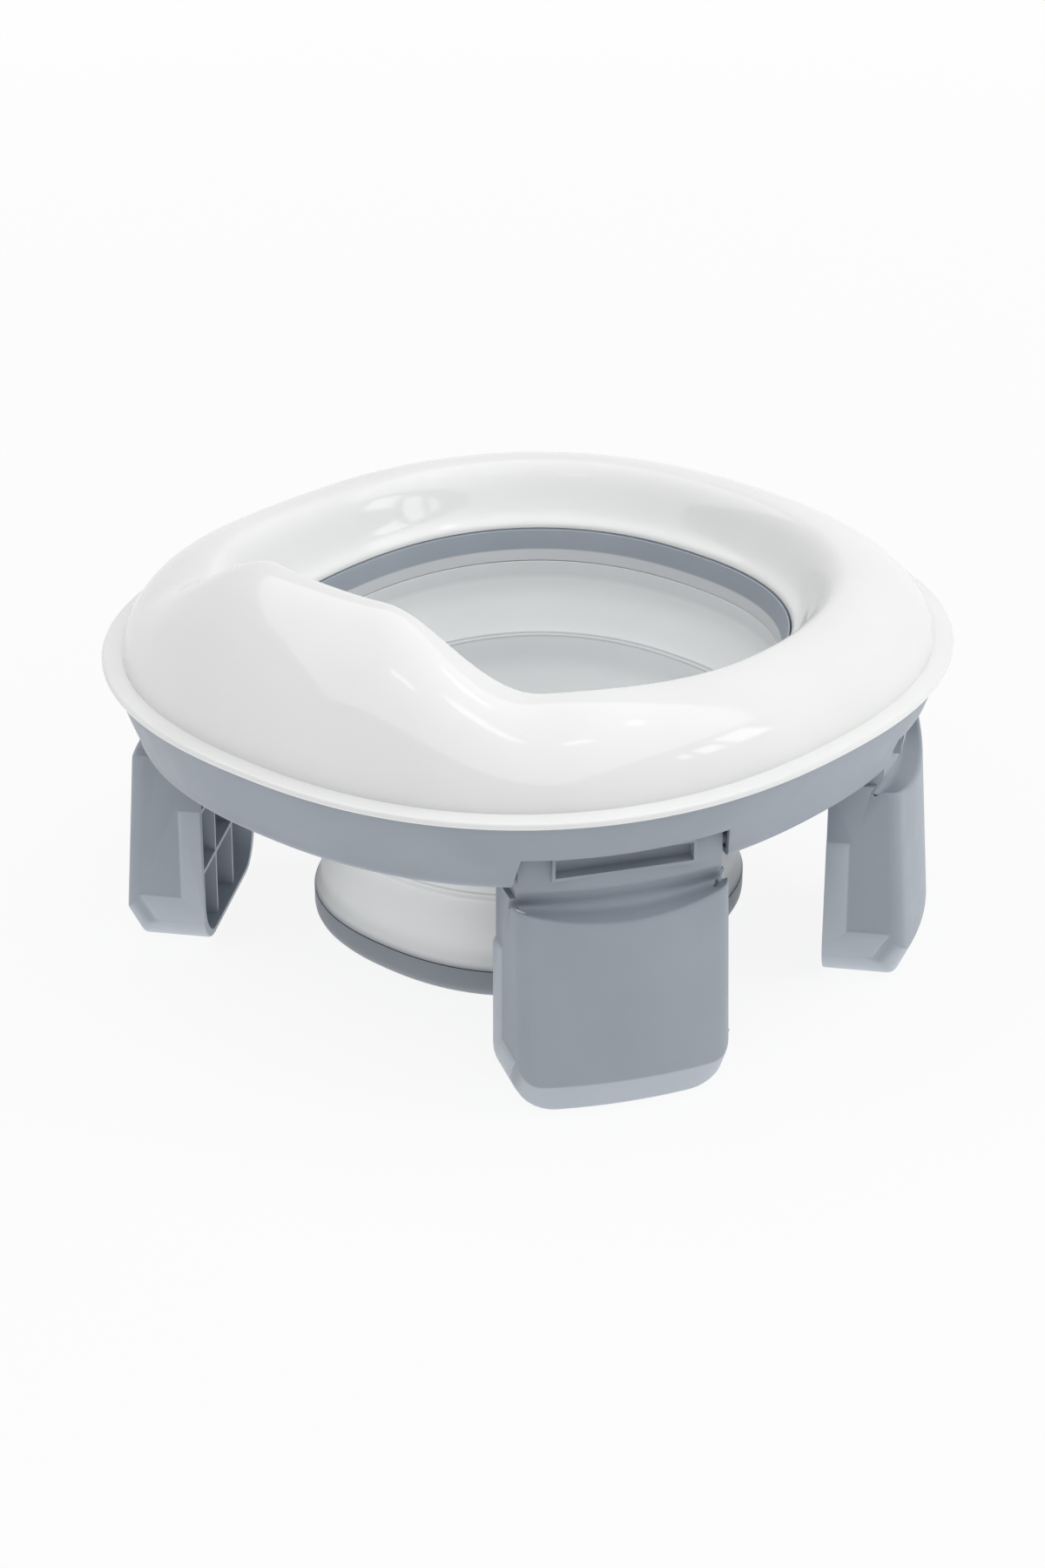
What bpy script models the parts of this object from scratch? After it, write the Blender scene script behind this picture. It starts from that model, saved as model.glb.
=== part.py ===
"""Folding travel potty: a white seat on a grey base ring, with legs that swing out and a bowl that folds up.

Metres, +Z up, the splash guard faces -Y, and the origin is on the floor under the middle of the seat.
Every plan outline is the seat's lip curve drawn in by an inset, so one pair of half sizes drives them all.
"""
import math

import bmesh
import bpy
from mathutils import Matrix

MM = 0.001
WELD = 0.001 * MM
FLAT_ANGLE = math.radians(0.05)

# Plan outline
LIP_HALF_WIDTH = 162 * MM
LIP_HALF_LENGTH = 168.5 * MM
PLAN_POWER = 2.3
RING_SEGMENTS = 52
BOWL_SEGMENTS = 40

# Fits
TOUCH_GAP = 0.3 * MM
RUNNING_GAP = 0.3 * MM
BOWL_GAP = 0.6 * MM

# Legs and hinges, measured from the hinge axis: outward, sideways and up
LEG_HEIGHT = 102.3 * MM
LEG_NORMAL_ANGLE = math.radians(58.5)
HINGE_INSET = 12.8 * MM
HINGE_SHIFT = 4.3 * MM
HINGE_ABOVE_RING = 7.5 * MM
LEG_HALF_WIDTH = 44 * MM
LEG_WALL = 2.4 * MM
LEG_BULGE = 6 * MM
HUB_HALF_WIDTH = 40.7 * MM
HUB_RADIUS = 9.8 * MM
HUB_FRONT = 5 * MM
HUB_SKIRT = 9.5 * MM
GROOVE_DEPTH = 4.9 * MM
GROOVE_BELOW = 16.8 * MM
SADDLE_OUT = 2.4 * MM
SADDLE_BELOW = 20.4 * MM
SHOULDER_OUT = 11.6 * MM
SHOULDER_BELOW = 15.8 * MM
SHOULDER_SAG = 1.3
SHOULDER_ROUND = 1.2 * MM
FACE_LEAN = math.radians(3.7)
FACE_CORNER = 9 * MM
TOE_HEIGHT = 14 * MM
TOE_DEPTH = 6.5 * MM
TOE_LEAST = 4 * MM
FOOT_CORNER = 17 * MM
EDGE_ROUND = 5 * MM
RIM_BACK = 15.5 * MM
RIM_LEAN = math.radians(0.4)
RIM_BAND = 8 * MM
RIM_BAND_BELOW = 38 * MM
SIDE_RECESS = 1.2 * MM
SIDE_FLARE = 2.5 * MM
SIDE_PANEL_FOOT = 22 * MM
RIB_THICKNESS = 1.8 * MM
RIB_COLUMNS = 3
RIB_PITCH = 28 * MM
RIB_LOWEST = 31 * MM
RIB_ROWS = 2
RIB_SET_BACK = 1.5 * MM
POCKET_HALF_WIDTH = 27.4 * MM
POCKET_HEIGHT = 7.4 * MM
POCKET_BELOW = 3 * MM
POCKET_FLOOR = 5.6 * MM
POCKET_FRAME = 1.3 * MM
POCKET_FRONT = 11.3 * MM
PIN_RADIUS = 1.75 * MM
HUB_BOSS_RADIUS = 3.2 * MM
LEG_STATIONS = 5

# Base ring
RING_HEIGHT = 31.7 * MM
RING_TOP_INSET = 3.5 * MM
RING_BOTTOM_INSET = 14.5 * MM
RING_WALL_POWER = 1.15
RING_FACE_STEPS = 2
RING_WALL = 2.6 * MM
RING_CORNER = 5 * MM
RING_LEDGE_BELOW = 9.5 * MM
RING_LEDGE = 2.7 * MM
RING_LEDGE_WIDTH = 3.4 * MM
NOTCH_HEIGHT = 15.2 * MM
NOTCH_TOP_HALF_WIDTH = 41.6 * MM
NOTCH_FLARE = 2.2 * MM
CHEEK_WALL = 2.6 * MM
CHEEK_RISE = 10 * MM

# Seat
SEAT_BREADTH = 63 * MM
SEAT_WALL = 2.6 * MM
DOME_POWER = 1.8
DOME_STEPS = 6
UNDERSIDE_STEPS = 3
SEAT_RISE = 29.2 * MM
SEAT_EDGE_RISE = 5.5 * MM
SEAT_CREST_INSET = 42 * MM
SIDE_RISE = 5.8 * MM
SIDE_HIGH_ANGLE = math.radians(50)
SIDE_LOW_ANGLE = math.radians(97)
ROLL_WIDTH = 4.5 * MM
ROLL_DROP = 5.5 * MM
SLOPE_STEPS_PER_ROLL_STEP = 3
SLOPE_TOP_SHARE = 0.5
SLOPE_FOOT_SHARE = 0.3
SLOPE_RISE_SHARE = 0.35
LIP_THICKNESS = 3 * MM
LIP_WIDTH = 8 * MM
LIP_ROUND = 1.2 * MM
GUARD_RISE = 27 * MM
GUARD_CREST_INSET = 52 * MM
GUARD_FLAT_ANGLE = math.radians(12)
GUARD_END_ANGLE = math.radians(45)

# Bowl
RIM_HEIGHT = 12.6 * MM
RIM_WALL = 2.4 * MM
TIER_HEIGHT = 34.9 * MM
TIER_WALL = 1.2 * MM
TIER_FLANGE = 1.7 * MM
TIER_FLANGE_WIDTH = 0.6 * MM
TIER_LEDGE = 2 * MM
TIER_TAPER = 5.8 * MM
TIER_STRAIGHT = 13.5 * MM
TIER_NAMES = ("bowl_wall_upper", "bowl_wall_middle", "bowl_wall_lower")
FOLD_BAND = 6 * MM
FOLD_FLARE = 2.9 * MM
DISH_HEIGHT = 12.7 * MM
DISH_FLOOR = 2.5 * MM
DISH_CORNER = 6 * MM
DISH_UPSTAND = 4 * MM
DISH_UPSTAND_WALL = 2 * MM

# Screws between base ring and seat
SCREW_ANGLES = {"front": 0, "right": 90, "rear_right": 158, "rear_left": 202, "left": 270}
SCREW_SHANK = 1.4 * MM
SCREW_LENGTH = 22 * MM
SCREW_HEAD_RADIUS = 3.5 * MM
SCREW_HEAD = 2.2 * MM
SCREW_SINK = 6.5 * MM
SCREW_SLOT = 1 * MM
BOSS_RADIUS = 6.5 * MM
BOSS_TOP = 18.5 * MM
POST_RADIUS = 4.5 * MM
ROUND_SIDES = 10
ROUND_TURN = math.radians(11)

# Heights that follow from the sizes above
RING_BOTTOM = LEG_HEIGHT - HINGE_ABOVE_RING
RING_TOP = RING_BOTTOM + RING_HEIGHT
LIP_BOTTOM = RING_TOP + TOUCH_GAP
LIP_TOP = LIP_BOTTOM + LIP_THICKNESS
SEAT_CREST = LIP_BOTTOM + SEAT_RISE
SEAT_EDGE = LIP_BOTTOM + SEAT_EDGE_RISE
LEDGE_TOP = RING_TOP - RING_LEDGE_BELOW
BOSS_FACE = RING_BOTTOM + BOSS_TOP
SCREW_SEAT = RING_BOTTOM + SCREW_SINK
BAY_HALF_WIDTH = NOTCH_TOP_HALF_WIDTH + NOTCH_FLARE
CHEEK_HALF_WIDTH = BAY_HALF_WIDTH + TOUCH_GAP
FAR = LIP_HALF_LENGTH

PLASTICS = {
    "seat_white": ((245, 245, 243), 0.18, 0.0),
    "base_grey": ((150, 159, 168), 0.45, 0.0),
    "bowl_white": ((226, 229, 231), 0.4, 0.0),
    "pin_steel": ((190, 192, 196), 0.3, 1.0),
}


def clear_scene():
    for obj in list(bpy.data.objects):
        bpy.data.objects.remove(obj)


def linear(channel):
    share = channel / 255
    return share / 12.92 if share <= 0.04045 else ((share + 0.055) / 1.055) ** 2.4


def make_material(name):
    colour, roughness, metallic = PLASTICS[name]
    made = bpy.data.materials.new(name)
    made.use_nodes = True
    shader = made.node_tree.nodes["Principled BSDF"]
    shader.inputs["Base Color"].default_value = (*(linear(c) for c in colour), 1)
    shader.inputs["Roughness"].default_value = roughness
    shader.inputs["Metallic"].default_value = metallic
    return made


def mesh_from(name, points, faces):
    """A closed mesh with its faces turned outwards and split into triangles."""
    mesh = bpy.data.meshes.new(name)
    work = bmesh.new()
    corners = [work.verts.new(point) for point in points]
    for face in faces:
        work.faces.new([corners[i] for i in face])
    work.normal_update()
    bmesh.ops.triangulate(work, faces=work.faces, ngon_method="EAR_CLIP")
    bmesh.ops.recalc_face_normals(work, faces=work.faces)
    work.to_mesh(mesh)
    work.free()
    return mesh


def place(name, mesh):
    obj = bpy.data.objects.new(name, mesh)
    bpy.context.scene.collection.objects.link(obj)
    return obj


def moved(mesh, frame):
    mesh.transform(frame)
    return mesh


def carve(mesh, tools, operation="DIFFERENCE"):
    """Cut each tool out of a mesh in turn, or with UNION add each to it."""
    for tool_mesh in tools:
        target = place("target", mesh)
        tool = place("tool", tool_mesh)
        tool.hide_render = True
        tool.display_type = "WIRE"
        step = target.modifiers.new("carve", "BOOLEAN")
        step.operation = operation
        step.solver = "EXACT"
        step.object = tool
        bpy.context.view_layer.update()
        mesh = tidied(target.evaluated_get(bpy.context.evaluated_depsgraph_get()).data)
        bpy.data.objects.remove(target)
        bpy.data.objects.remove(tool)
    return mesh


def tidied(mesh):
    """A copy with doubled points welded, flat areas made one face each and then every face a triangle."""
    work = bmesh.new()
    work.from_mesh(mesh)
    bmesh.ops.remove_doubles(work, verts=work.verts, dist=WELD)
    bmesh.ops.dissolve_limit(work, angle_limit=FLAT_ANGLE, verts=work.verts, edges=work.edges)
    bmesh.ops.triangulate(work, faces=work.faces)
    copy = bpy.data.meshes.new("tidied")
    work.to_mesh(copy)
    work.free()
    return copy


def finish(obj, material):
    obj.data.materials.clear()
    obj.data.materials.append(material)
    obj.data.shade_smooth()
    obj.data.set_sharp_from_angle(angle=math.radians(35))


def plan_point(inset, angle):
    """A point of the lip curve drawn in by an inset; angle 0 is the front and 90 degrees the right."""
    across, along = math.sin(angle), -math.cos(angle)
    power = 2 / PLAN_POWER
    x = math.copysign(abs(across) ** power, across) * (LIP_HALF_WIDTH - inset)
    y = math.copysign(abs(along) ** power, along) * (LIP_HALF_LENGTH - inset)
    return x, y


def strip_faces(rows, columns):
    """Quads of a grid that closes on itself along each row, and a face over each end."""
    faces = [tuple(range(columns)), tuple(range((rows - 1) * columns, rows * columns))]
    for i in range(rows - 1):
        low, high = i * columns, (i + 1) * columns
        for j in range(columns):
            k = (j + 1) % columns
            faces.append((low + j, low + k, high + k, high + j))
    return faces


def loop_faces(rows, columns):
    """Quads of a grid that closes on itself both ways."""
    for i in range(rows):
        for j in range(columns):
            k, m = (i + 1) % rows, (j + 1) % columns
            yield i * columns + j, k * columns + j, k * columns + m, i * columns + m


def ring_mesh(name, section, segments):
    """Sweep a closed section of (inset, height) pairs round the plan curve."""
    points = []
    for i in range(segments):
        angle = 2 * math.pi * i / segments
        outline = section(angle)
        points += [(*plan_point(inset, angle), z) for inset, z in outline]
    return mesh_from(name, points, loop_faces(segments, len(outline)))


def dish_mesh(name, outline, segments):
    """Sweep an outline that starts and ends flat in the middle, and close both flats."""
    points = []
    for inset, z in outline:
        points += [(*plan_point(inset, 2 * math.pi * i / segments), z) for i in range(segments)]
    return mesh_from(name, points, strip_faces(len(outline), segments))


def box_mesh(name, low, high):
    points = [(x, y, z) for x in (low[0], high[0]) for y in (low[1], high[1]) for z in (low[2], high[2])]
    faces = ((0, 1, 3, 2), (4, 6, 7, 5), (0, 4, 5, 1), (2, 3, 7, 6), (0, 2, 6, 4), (1, 5, 7, 3))
    return mesh_from(name, points, faces)


def turned_mesh(name, outline, sides=ROUND_SIDES):
    """Turn an outline of (radius, height) pairs about Z and close its ends."""
    points = []
    for radius, z in outline:
        for i in range(sides):
            turn = ROUND_TURN + 2 * math.pi * i / sides
            points.append((radius * math.cos(turn), radius * math.sin(turn), z))
    return mesh_from(name, points, strip_faces(len(outline), sides))


def rod_mesh(name, radius, half_length):
    """A round rod along Y."""
    mesh = turned_mesh(name, ((radius, -half_length), (radius, half_length)))
    mesh.transform(Matrix.Rotation(math.pi / 2, 4, "X"))
    return mesh


def prism_mesh(name, near, far):
    """Join two like outlines of points into a closed prism."""
    return mesh_from(name, list(near) + list(far), strip_faces(2, len(near)))


def arc_shares(steps):
    """Sine and cosine pairs over a quarter turn."""
    turns = [math.pi / 2 * i / steps for i in range(steps + 1)]
    return [(math.sin(turn), abs(math.cos(turn))) for turn in turns]


# Seat

def front_share(angle, full, end):
    """One from the front as far as an angle, then falling smoothly to nothing at another."""
    from_front = abs((angle + math.pi) % (2 * math.pi) - math.pi)
    share = min(max((from_front - full) / (end - full), 0), 1)
    return 1 - share * share * (3 - 2 * share)


def crest_at(angle):
    """Inset and height of the seat's highest line, which climbs from the back to the sides and the guard."""
    guard = front_share(angle, GUARD_FLAT_ANGLE, GUARD_END_ANGLE)
    side = front_share(angle, SIDE_HIGH_ANGLE, SIDE_LOW_ANGLE)
    inset = SEAT_CREST_INSET + (GUARD_CREST_INSET - SEAT_CREST_INSET) * guard
    return inset, SEAT_CREST + SIDE_RISE * side + GUARD_RISE * guard


def bezier(start, pull, push, end, steps):
    """Points after the start along a curve that leaves towards one handle and arrives from another."""
    points = []
    for i in range(1, steps + 1):
        t = i / steps
        shares = ((1 - t) ** 3, 3 * t * (1 - t) ** 2, 3 * t * t * (1 - t), t ** 3)
        points.append(tuple(sum(k * p[n] for k, p in zip(shares, (start, pull, push, end))) for n in (0, 1)))
    return points


def inner_slope(crest_inset, crest, edge, steps):
    """The funnel from the crest down to a small roll at the opening."""
    roll = (edge - ROLL_WIDTH, SEAT_EDGE + ROLL_DROP)
    width, drop = roll[0] - crest_inset, crest - roll[1]
    pull = (crest_inset + SLOPE_TOP_SHARE * width, crest)
    push = (roll[0] - SLOPE_FOOT_SHARE * width, roll[1] + SLOPE_RISE_SHARE * drop)
    funnel = bezier((crest_inset, crest), pull, push, roll, steps)
    lead = ROLL_DROP / 2 / (push[1] - roll[1])
    turn_in = (min(roll[0] + lead * (roll[0] - push[0]), edge), SEAT_EDGE + ROLL_DROP / 2)
    turn_down = (edge, SEAT_EDGE + ROLL_DROP / 2)
    return funnel + bezier(roll, turn_in, turn_down, (edge, SEAT_EDGE), steps // SLOPE_STEPS_PER_ROLL_STEP)


def seat_skin(angle, wall):
    """The domed skin from the lip's inner edge over the crest to the opening, drawn in by a wall."""
    crest_inset, crest = crest_at(angle)
    foot = LIP_TOP if wall == 0 else LIP_BOTTOM
    rise = crest - wall - foot
    outside = crest_inset - LIP_WIDTH - wall
    steps = DOME_STEPS if wall == 0 else UNDERSIDE_STEPS
    flat = 2 / DOME_POWER
    rising = [(crest_inset - outside * c ** flat, foot + rise * s ** flat) for s, c in arc_shares(steps)]
    return rising + inner_slope(crest_inset, crest - wall, SEAT_BREADTH - wall, steps)


def seat_section(angle):
    lip = [
        (LIP_ROUND, LIP_BOTTOM),
        (0, LIP_BOTTOM + LIP_ROUND),
        (0, LIP_TOP - LIP_ROUND),
        (LIP_ROUND, LIP_TOP),
    ]
    return lip + seat_skin(angle, 0) + seat_skin(angle, SEAT_WALL)[::-1]


def dome_height(angle, inset):
    """Height of the dome's outer side at an inset."""
    crest_inset, crest = crest_at(angle)
    flat = 2 / DOME_POWER
    cosine = ((crest_inset - inset) / (crest_inset - LIP_WIDTH)) ** (1 / flat)
    return LIP_TOP + (crest - LIP_TOP) * math.sqrt(1 - cosine * cosine) ** flat


def screw_frames():
    """Where each screw stands, under the top of the dome."""
    frames = {}
    for name, degrees in SCREW_ANGLES.items():
        spot = plan_point(SEAT_CREST_INSET, math.radians(degrees))
        frames[name] = Matrix.Translation((*spot, 0))
    return frames


def build_seat(material):
    """The domed skin with screw posts under it, each with a blind pilot hole."""
    foot = BOSS_FACE + TOUCH_GAP
    radius = SCREW_SHANK + RUNNING_GAP
    pilot = ((radius, foot - POST_RADIUS), (radius, SCREW_SEAT + SCREW_LENGTH))
    posts, pilots = [], []
    for name, frame in screw_frames().items():
        skin = dome_height(math.radians(SCREW_ANGLES[name]), SEAT_CREST_INSET - POST_RADIUS)
        head = skin - SEAT_WALL / 2
        posts.append(moved(turned_mesh("post", ((POST_RADIUS, foot), (POST_RADIUS, head))), frame))
        pilots.append(moved(turned_mesh("pilot", pilot), frame))
    mesh = ring_mesh("seat_ring", seat_section, RING_SEGMENTS)
    mesh = carve(carve(mesh, posts, "UNION"), pilots)
    finish(place("seat_ring", mesh), material)


# Base ring

def ring_wall_inset(z):
    """Inset of the ring's outer face, which leans in towards the bottom."""
    share = (RING_TOP - z) / RING_HEIGHT
    return RING_TOP_INSET + (RING_BOTTOM_INSET - RING_TOP_INSET) * share ** RING_WALL_POWER


def ring_outer_face(wall, corner, bottom, top):
    """The leaning outer face and the round that turns it under, drawn in by a wall."""
    bend = bottom + corner
    heights = [top + (bend - top) * i / RING_FACE_STEPS for i in range(RING_FACE_STEPS + 1)]
    face = [(ring_wall_inset(min(z, RING_TOP)) + wall, z) for z in heights]
    foot_inset = face[-1][0]
    face += [(foot_inset + corner * (1 - c), bend - corner * s) for s, c in arc_shares(3)[1:]]
    return face


def envelope_section(_angle):
    """The ring's outside: outer face, floor, ledge for the bowl and inner wall."""
    inner_top = SEAT_EDGE - TOUCH_GAP
    ledge_inset = SEAT_BREADTH + RING_LEDGE_WIDTH
    return ring_outer_face(0, RING_CORNER, RING_BOTTOM, RING_TOP) + [
        (SEAT_BREADTH, RING_BOTTOM),
        (SEAT_BREADTH, LEDGE_TOP - RING_LEDGE),
        (ledge_inset, LEDGE_TOP - RING_LEDGE),
        (ledge_inset, LEDGE_TOP),
        (SEAT_BREADTH, LEDGE_TOP),
        (SEAT_BREADTH, inner_top),
        (SEAT_BREADTH - 2 * RING_WALL, inner_top),
        (RING_TOP_INSET + 2 * RING_WALL, RING_TOP),
    ]


def channel_section(_angle):
    """The open channel between the ring's two walls."""
    top = SEAT_EDGE + RING_WALL
    floor = RING_BOTTOM + RING_WALL
    return ring_outer_face(RING_WALL, RING_CORNER - RING_WALL, floor, top) + [
        (SEAT_BREADTH - RING_WALL, floor),
        (SEAT_BREADTH - RING_WALL, top),
    ]


def leg_frames():
    """Where each leg's hinge sits: a frame with X outward, Y along the pin and Z up."""
    half_x = LIP_HALF_WIDTH - RING_BOTTOM_INSET
    half_y = LIP_HALF_LENGTH - RING_BOTTOM_INSET
    ratio = (math.tan(LEG_NORMAL_ANGLE) * half_x / half_y) ** (1 / (2 - 2 / PLAN_POWER))
    x, y = plan_point(RING_BOTTOM_INSET, math.atan(ratio))
    across, along = math.sin(LEG_NORMAL_ANGLE), math.cos(LEG_NORMAL_ANGLE)
    x += HINGE_SHIFT * along - HINGE_INSET * across
    y += HINGE_SHIFT * across + HINGE_INSET * along
    turn = math.pi / 2 - LEG_NORMAL_ANGLE
    frames = {}
    corners = (("front_right", 1, 1), ("front_left", -1, 1), ("rear_right", 1, -1), ("rear_left", -1, -1))
    for name, side, end in corners:
        heading = math.atan2(-end * math.sin(turn), side * math.cos(turn))
        spot = Matrix.Translation((side * x, end * y, LEG_HEIGHT))
        frames[name] = spot @ Matrix.Rotation(heading, 4, "Z")
    return frames


def leg_notch(frame):
    """The notch in the ring's outer face that takes a leg's hub."""
    low = -HINGE_ABOVE_RING - RING_WALL
    top = NOTCH_HEIGHT - HINGE_ABOVE_RING
    wide, narrow = BAY_HALF_WIDTH, NOTCH_TOP_HALF_WIDTH
    corners = ((-wide, low), (wide, low), (narrow, top), (-narrow, top))
    near = [(-EDGE_ROUND, y, z) for y, z in corners]
    far = [(FAR, y, z) for y, z in corners]
    return moved(prism_mesh("notch", near, far), frame)


def leg_bay(frame):
    """The bay in the ring's floor that a leg passes through."""
    side = BAY_HALF_WIDTH - 2 * TOUCH_GAP
    low = (-RIM_BACK - 2 * TOUCH_GAP, -side, -HINGE_ABOVE_RING - RING_WALL)
    high = (0, side, RING_WALL - HINGE_ABOVE_RING + TOUCH_GAP)
    return moved(box_mesh("bay", low, high), frame)


def pin_bores(frame):
    """A rod that cuts the pin's holes in both cheeks."""
    return moved(rod_mesh("bores", PIN_RADIUS + RUNNING_GAP, CHEEK_HALF_WIDTH + 2 * CHEEK_WALL), frame)


def hinge_cheeks(frame):
    """The two plates across the channel that hold a leg's pin."""
    cheeks = []
    for near in (CHEEK_HALF_WIDTH, -CHEEK_HALF_WIDTH - CHEEK_WALL):
        low = (-SEAT_BREADTH, near, -HINGE_ABOVE_RING)
        high = (SEAT_BREADTH, near + CHEEK_WALL, CHEEK_RISE)
        cheeks.append(moved(box_mesh("cheek", low, high), frame))
    return cheeks


def screw_boss(frame):
    """A boss on the channel's floor for one screw."""
    return moved(turned_mesh("boss", ((BOSS_RADIUS, RING_BOTTOM), (BOSS_RADIUS, BOSS_FACE))), frame)


def screw_hole(frame):
    """A stepped hole that takes one screw from below."""
    shank = SCREW_SHANK + RUNNING_GAP
    head = SCREW_HEAD_RADIUS + RUNNING_GAP
    outline = (
        (head, RING_BOTTOM - RING_WALL),
        (head, SCREW_SEAT),
        (shank, SCREW_SEAT),
        (shank, BOSS_FACE + RING_WALL),
    )
    return moved(turned_mesh("hole", outline), frame)


def build_base_ring(material, frames):
    legs = frames.values()
    screws = screw_frames().values()
    cheeks = [cheek for frame in legs for cheek in hinge_cheeks(frame)]
    channel = ring_mesh("channel", channel_section, RING_SEGMENTS)
    channel = carve(channel, [screw_boss(frame) for frame in screws] + cheeks)
    mesh = carve(ring_mesh("base_ring", envelope_section, RING_SEGMENTS), [channel])
    mesh = carve(mesh, [leg_notch(frame) for frame in legs] + [screw_hole(frame) for frame in screws])
    mesh = carve(mesh, [leg_bay(frame) for frame in legs] + [pin_bores(frame) for frame in legs])
    finish(place("base_ring", mesh), material)


# Legs

def rounded_rise(offset, half_width, radius):
    """How far a round corner lifts an edge at a sideways offset."""
    past = min(max(abs(offset) - (half_width - radius), 0), radius)
    return radius - math.sqrt(radius * radius - past * past)


def leg_outline(share, wall):
    """One upright slice of a leg as (outward, up) pairs, with a wall taken off all round."""
    bulge = LEG_BULGE * (1 - share * share)
    side = share * LEG_HALF_WIDTH
    panel = LEG_HALF_WIDTH - SIDE_RECESS
    ease = rounded_rise(side, panel, EDGE_ROUND)
    foot = -LEG_HEIGHT + rounded_rise(side, LEG_HALF_WIDTH, FOOT_CORNER)
    toe = -LEG_HEIGHT + TOE_HEIGHT + rounded_rise(side, panel, FACE_CORNER)
    toe = max(toe, foot + TOE_LEAST)
    face_top = -SHOULDER_BELOW - SHOULDER_SAG * bulge
    lean = math.tan(FACE_LEAN)
    face = SHOULDER_OUT + bulge - ease
    toe_out = face + (face_top - toe) * lean
    groove = HUB_FRONT + bulge - GROOVE_DEPTH
    saddle = groove + SADDLE_OUT - ease / 2
    saddle_drop = (SADDLE_BELOW - GROOVE_BELOW) * (1 + bulge / LEG_BULGE) / 2
    lower = [
        (groove - wall, -GROOVE_BELOW + wall / 2),
        (saddle - wall, -GROOVE_BELOW - saddle_drop - wall / 2),
        (face - SHOULDER_ROUND - wall, face_top + SHOULDER_ROUND - wall),
        (face - wall, face_top - wall),
        ((face + toe_out) / 2 - wall, (face_top + toe) / 2),
        (toe_out - wall, toe + wall / 2),
        (toe_out - TOE_DEPTH - wall / 2, foot + wall),
    ]
    return bulge, foot, lower


def leg_slice(share):
    """The outside of one slice: hub, groove, shoulder, outer face, foot and the open inner rim."""
    bulge, foot, lower = leg_outline(share, 0)
    front = HUB_FRONT + bulge
    back = RIM_BACK - foot * math.tan(RIM_LEAN)
    hub = [(-HUB_RADIUS * c, HUB_RADIUS * s) for s, c in arc_shares(3)]
    hub += [
        (front - SHOULDER_ROUND, HUB_RADIUS),
        (front, HUB_RADIUS - SHOULDER_ROUND),
        (front, -HUB_SKIRT),
        lower[0],
    ]
    neck = [(-back, foot), (-RIM_BACK, -HUB_RADIUS), (-HUB_RADIUS, RING_WALL - HINGE_ABOVE_RING)]
    return [(w, share * LEG_HALF_WIDTH, z) for w, z in hub + lower[1:] + neck]


def hollow_slice(share):
    """One slice of the leg's hollow, which is open at the inner rim."""
    _bulge, foot, lower = leg_outline(share, LEG_WALL)
    top = -HUB_SKIRT - LEG_WALL
    open_end = -RIM_BACK - LEG_HEIGHT * math.tan(RIM_LEAN) - LEG_WALL
    half = LEG_HALF_WIDTH - SIDE_RECESS - LEG_WALL
    outline = [(open_end, top), (lower[0][0], top)] + lower + [(open_end, foot + LEG_WALL)]
    return [(w, share * half, z) for w, z in outline]


def station_shares():
    return [math.sin(math.pi / 2 * i / LEG_STATIONS) for i in range(-LEG_STATIONS, LEG_STATIONS + 1)]


def sliced_mesh(name, make_slice):
    """Join slices from one side of the leg to the other and close the two ends."""
    slices = [make_slice(share) for share in station_shares()]
    points = [point for piece in slices for point in piece]
    return mesh_from(name, points, strip_faces(len(slices), len(slices[0])))


def upright_ribs():
    half = RIB_THICKNESS / 2
    inside = LEG_HALF_WIDTH - SIDE_RECESS - LEG_WALL
    ribs = []
    for i in range(1, RIB_COLUMNS):
        y = -inside + 2 * inside * i / RIB_COLUMNS
        low = (-RIM_BACK + RIB_SET_BACK, y - half, -2 * LEG_HEIGHT)
        ribs.append(box_mesh("upright", low, (FAR, y + half, LEG_HEIGHT)))
    return ribs


def level_ribs():
    half = RIB_THICKNESS / 2
    ribs = []
    for i in range(RIB_ROWS):
        z = -LEG_HEIGHT + RIB_LOWEST + RIB_PITCH * i
        ribs.append(box_mesh("level", (-RIM_BACK + RIB_SET_BACK, -FAR, z - half), (FAR, FAR, z + half)))
    return ribs


def panel_corners(y, spread):
    """Outline of a side recess at one depth, widened by a spread."""
    rim = -RIM_BACK - (LEG_HEIGHT - SIDE_PANEL_FOOT) * math.tan(RIM_LEAN)
    band = rim + RIM_BAND + SIDE_FLARE - spread
    step = -RIM_BAND_BELOW - spread
    low = -LEG_HEIGHT + SIDE_PANEL_FOOT + SIDE_FLARE - spread
    outline = ((-FAR, LEG_HEIGHT), (-FAR, step), (band, step), (band, low), (FAR, low), (FAR, LEG_HEIGHT))
    return [(w, y, z) for w, z in outline]


def side_panels():
    """The shallow recess in each side of a leg, which leaves a wider band along the rim and the foot."""
    inner = LEG_HALF_WIDTH - SIDE_RECESS
    outer = LEG_HALF_WIDTH + SIDE_RECESS
    panels = []
    for side in (-1, 1):
        near = panel_corners(side * inner, 0)
        far = panel_corners(side * outer, 2 * SIDE_FLARE)
        panels.append(prism_mesh("panel", near, far))
    return panels


def hub_sides():
    """Blocks that narrow the hub so that it clears the ring's notch."""
    low = -(HUB_SKIRT + GROOVE_BELOW) / 2
    return [
        box_mesh("hub_side", (-FAR, HUB_HALF_WIDTH, low), (FAR, FAR, LEG_HEIGHT)),
        box_mesh("hub_side", (-FAR, -FAR, low), (FAR, -HUB_HALF_WIDTH, LEG_HEIGHT)),
    ]


def pocket_box(edge, back, front):
    """A box over the latch pocket in the hub's front, grown by an edge."""
    low = (back, -POCKET_HALF_WIDTH - edge, -POCKET_BELOW - edge)
    high = (front, POCKET_HALF_WIDTH + edge, POCKET_HEIGHT - POCKET_BELOW + edge)
    return box_mesh("pocket", low, high)


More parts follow.
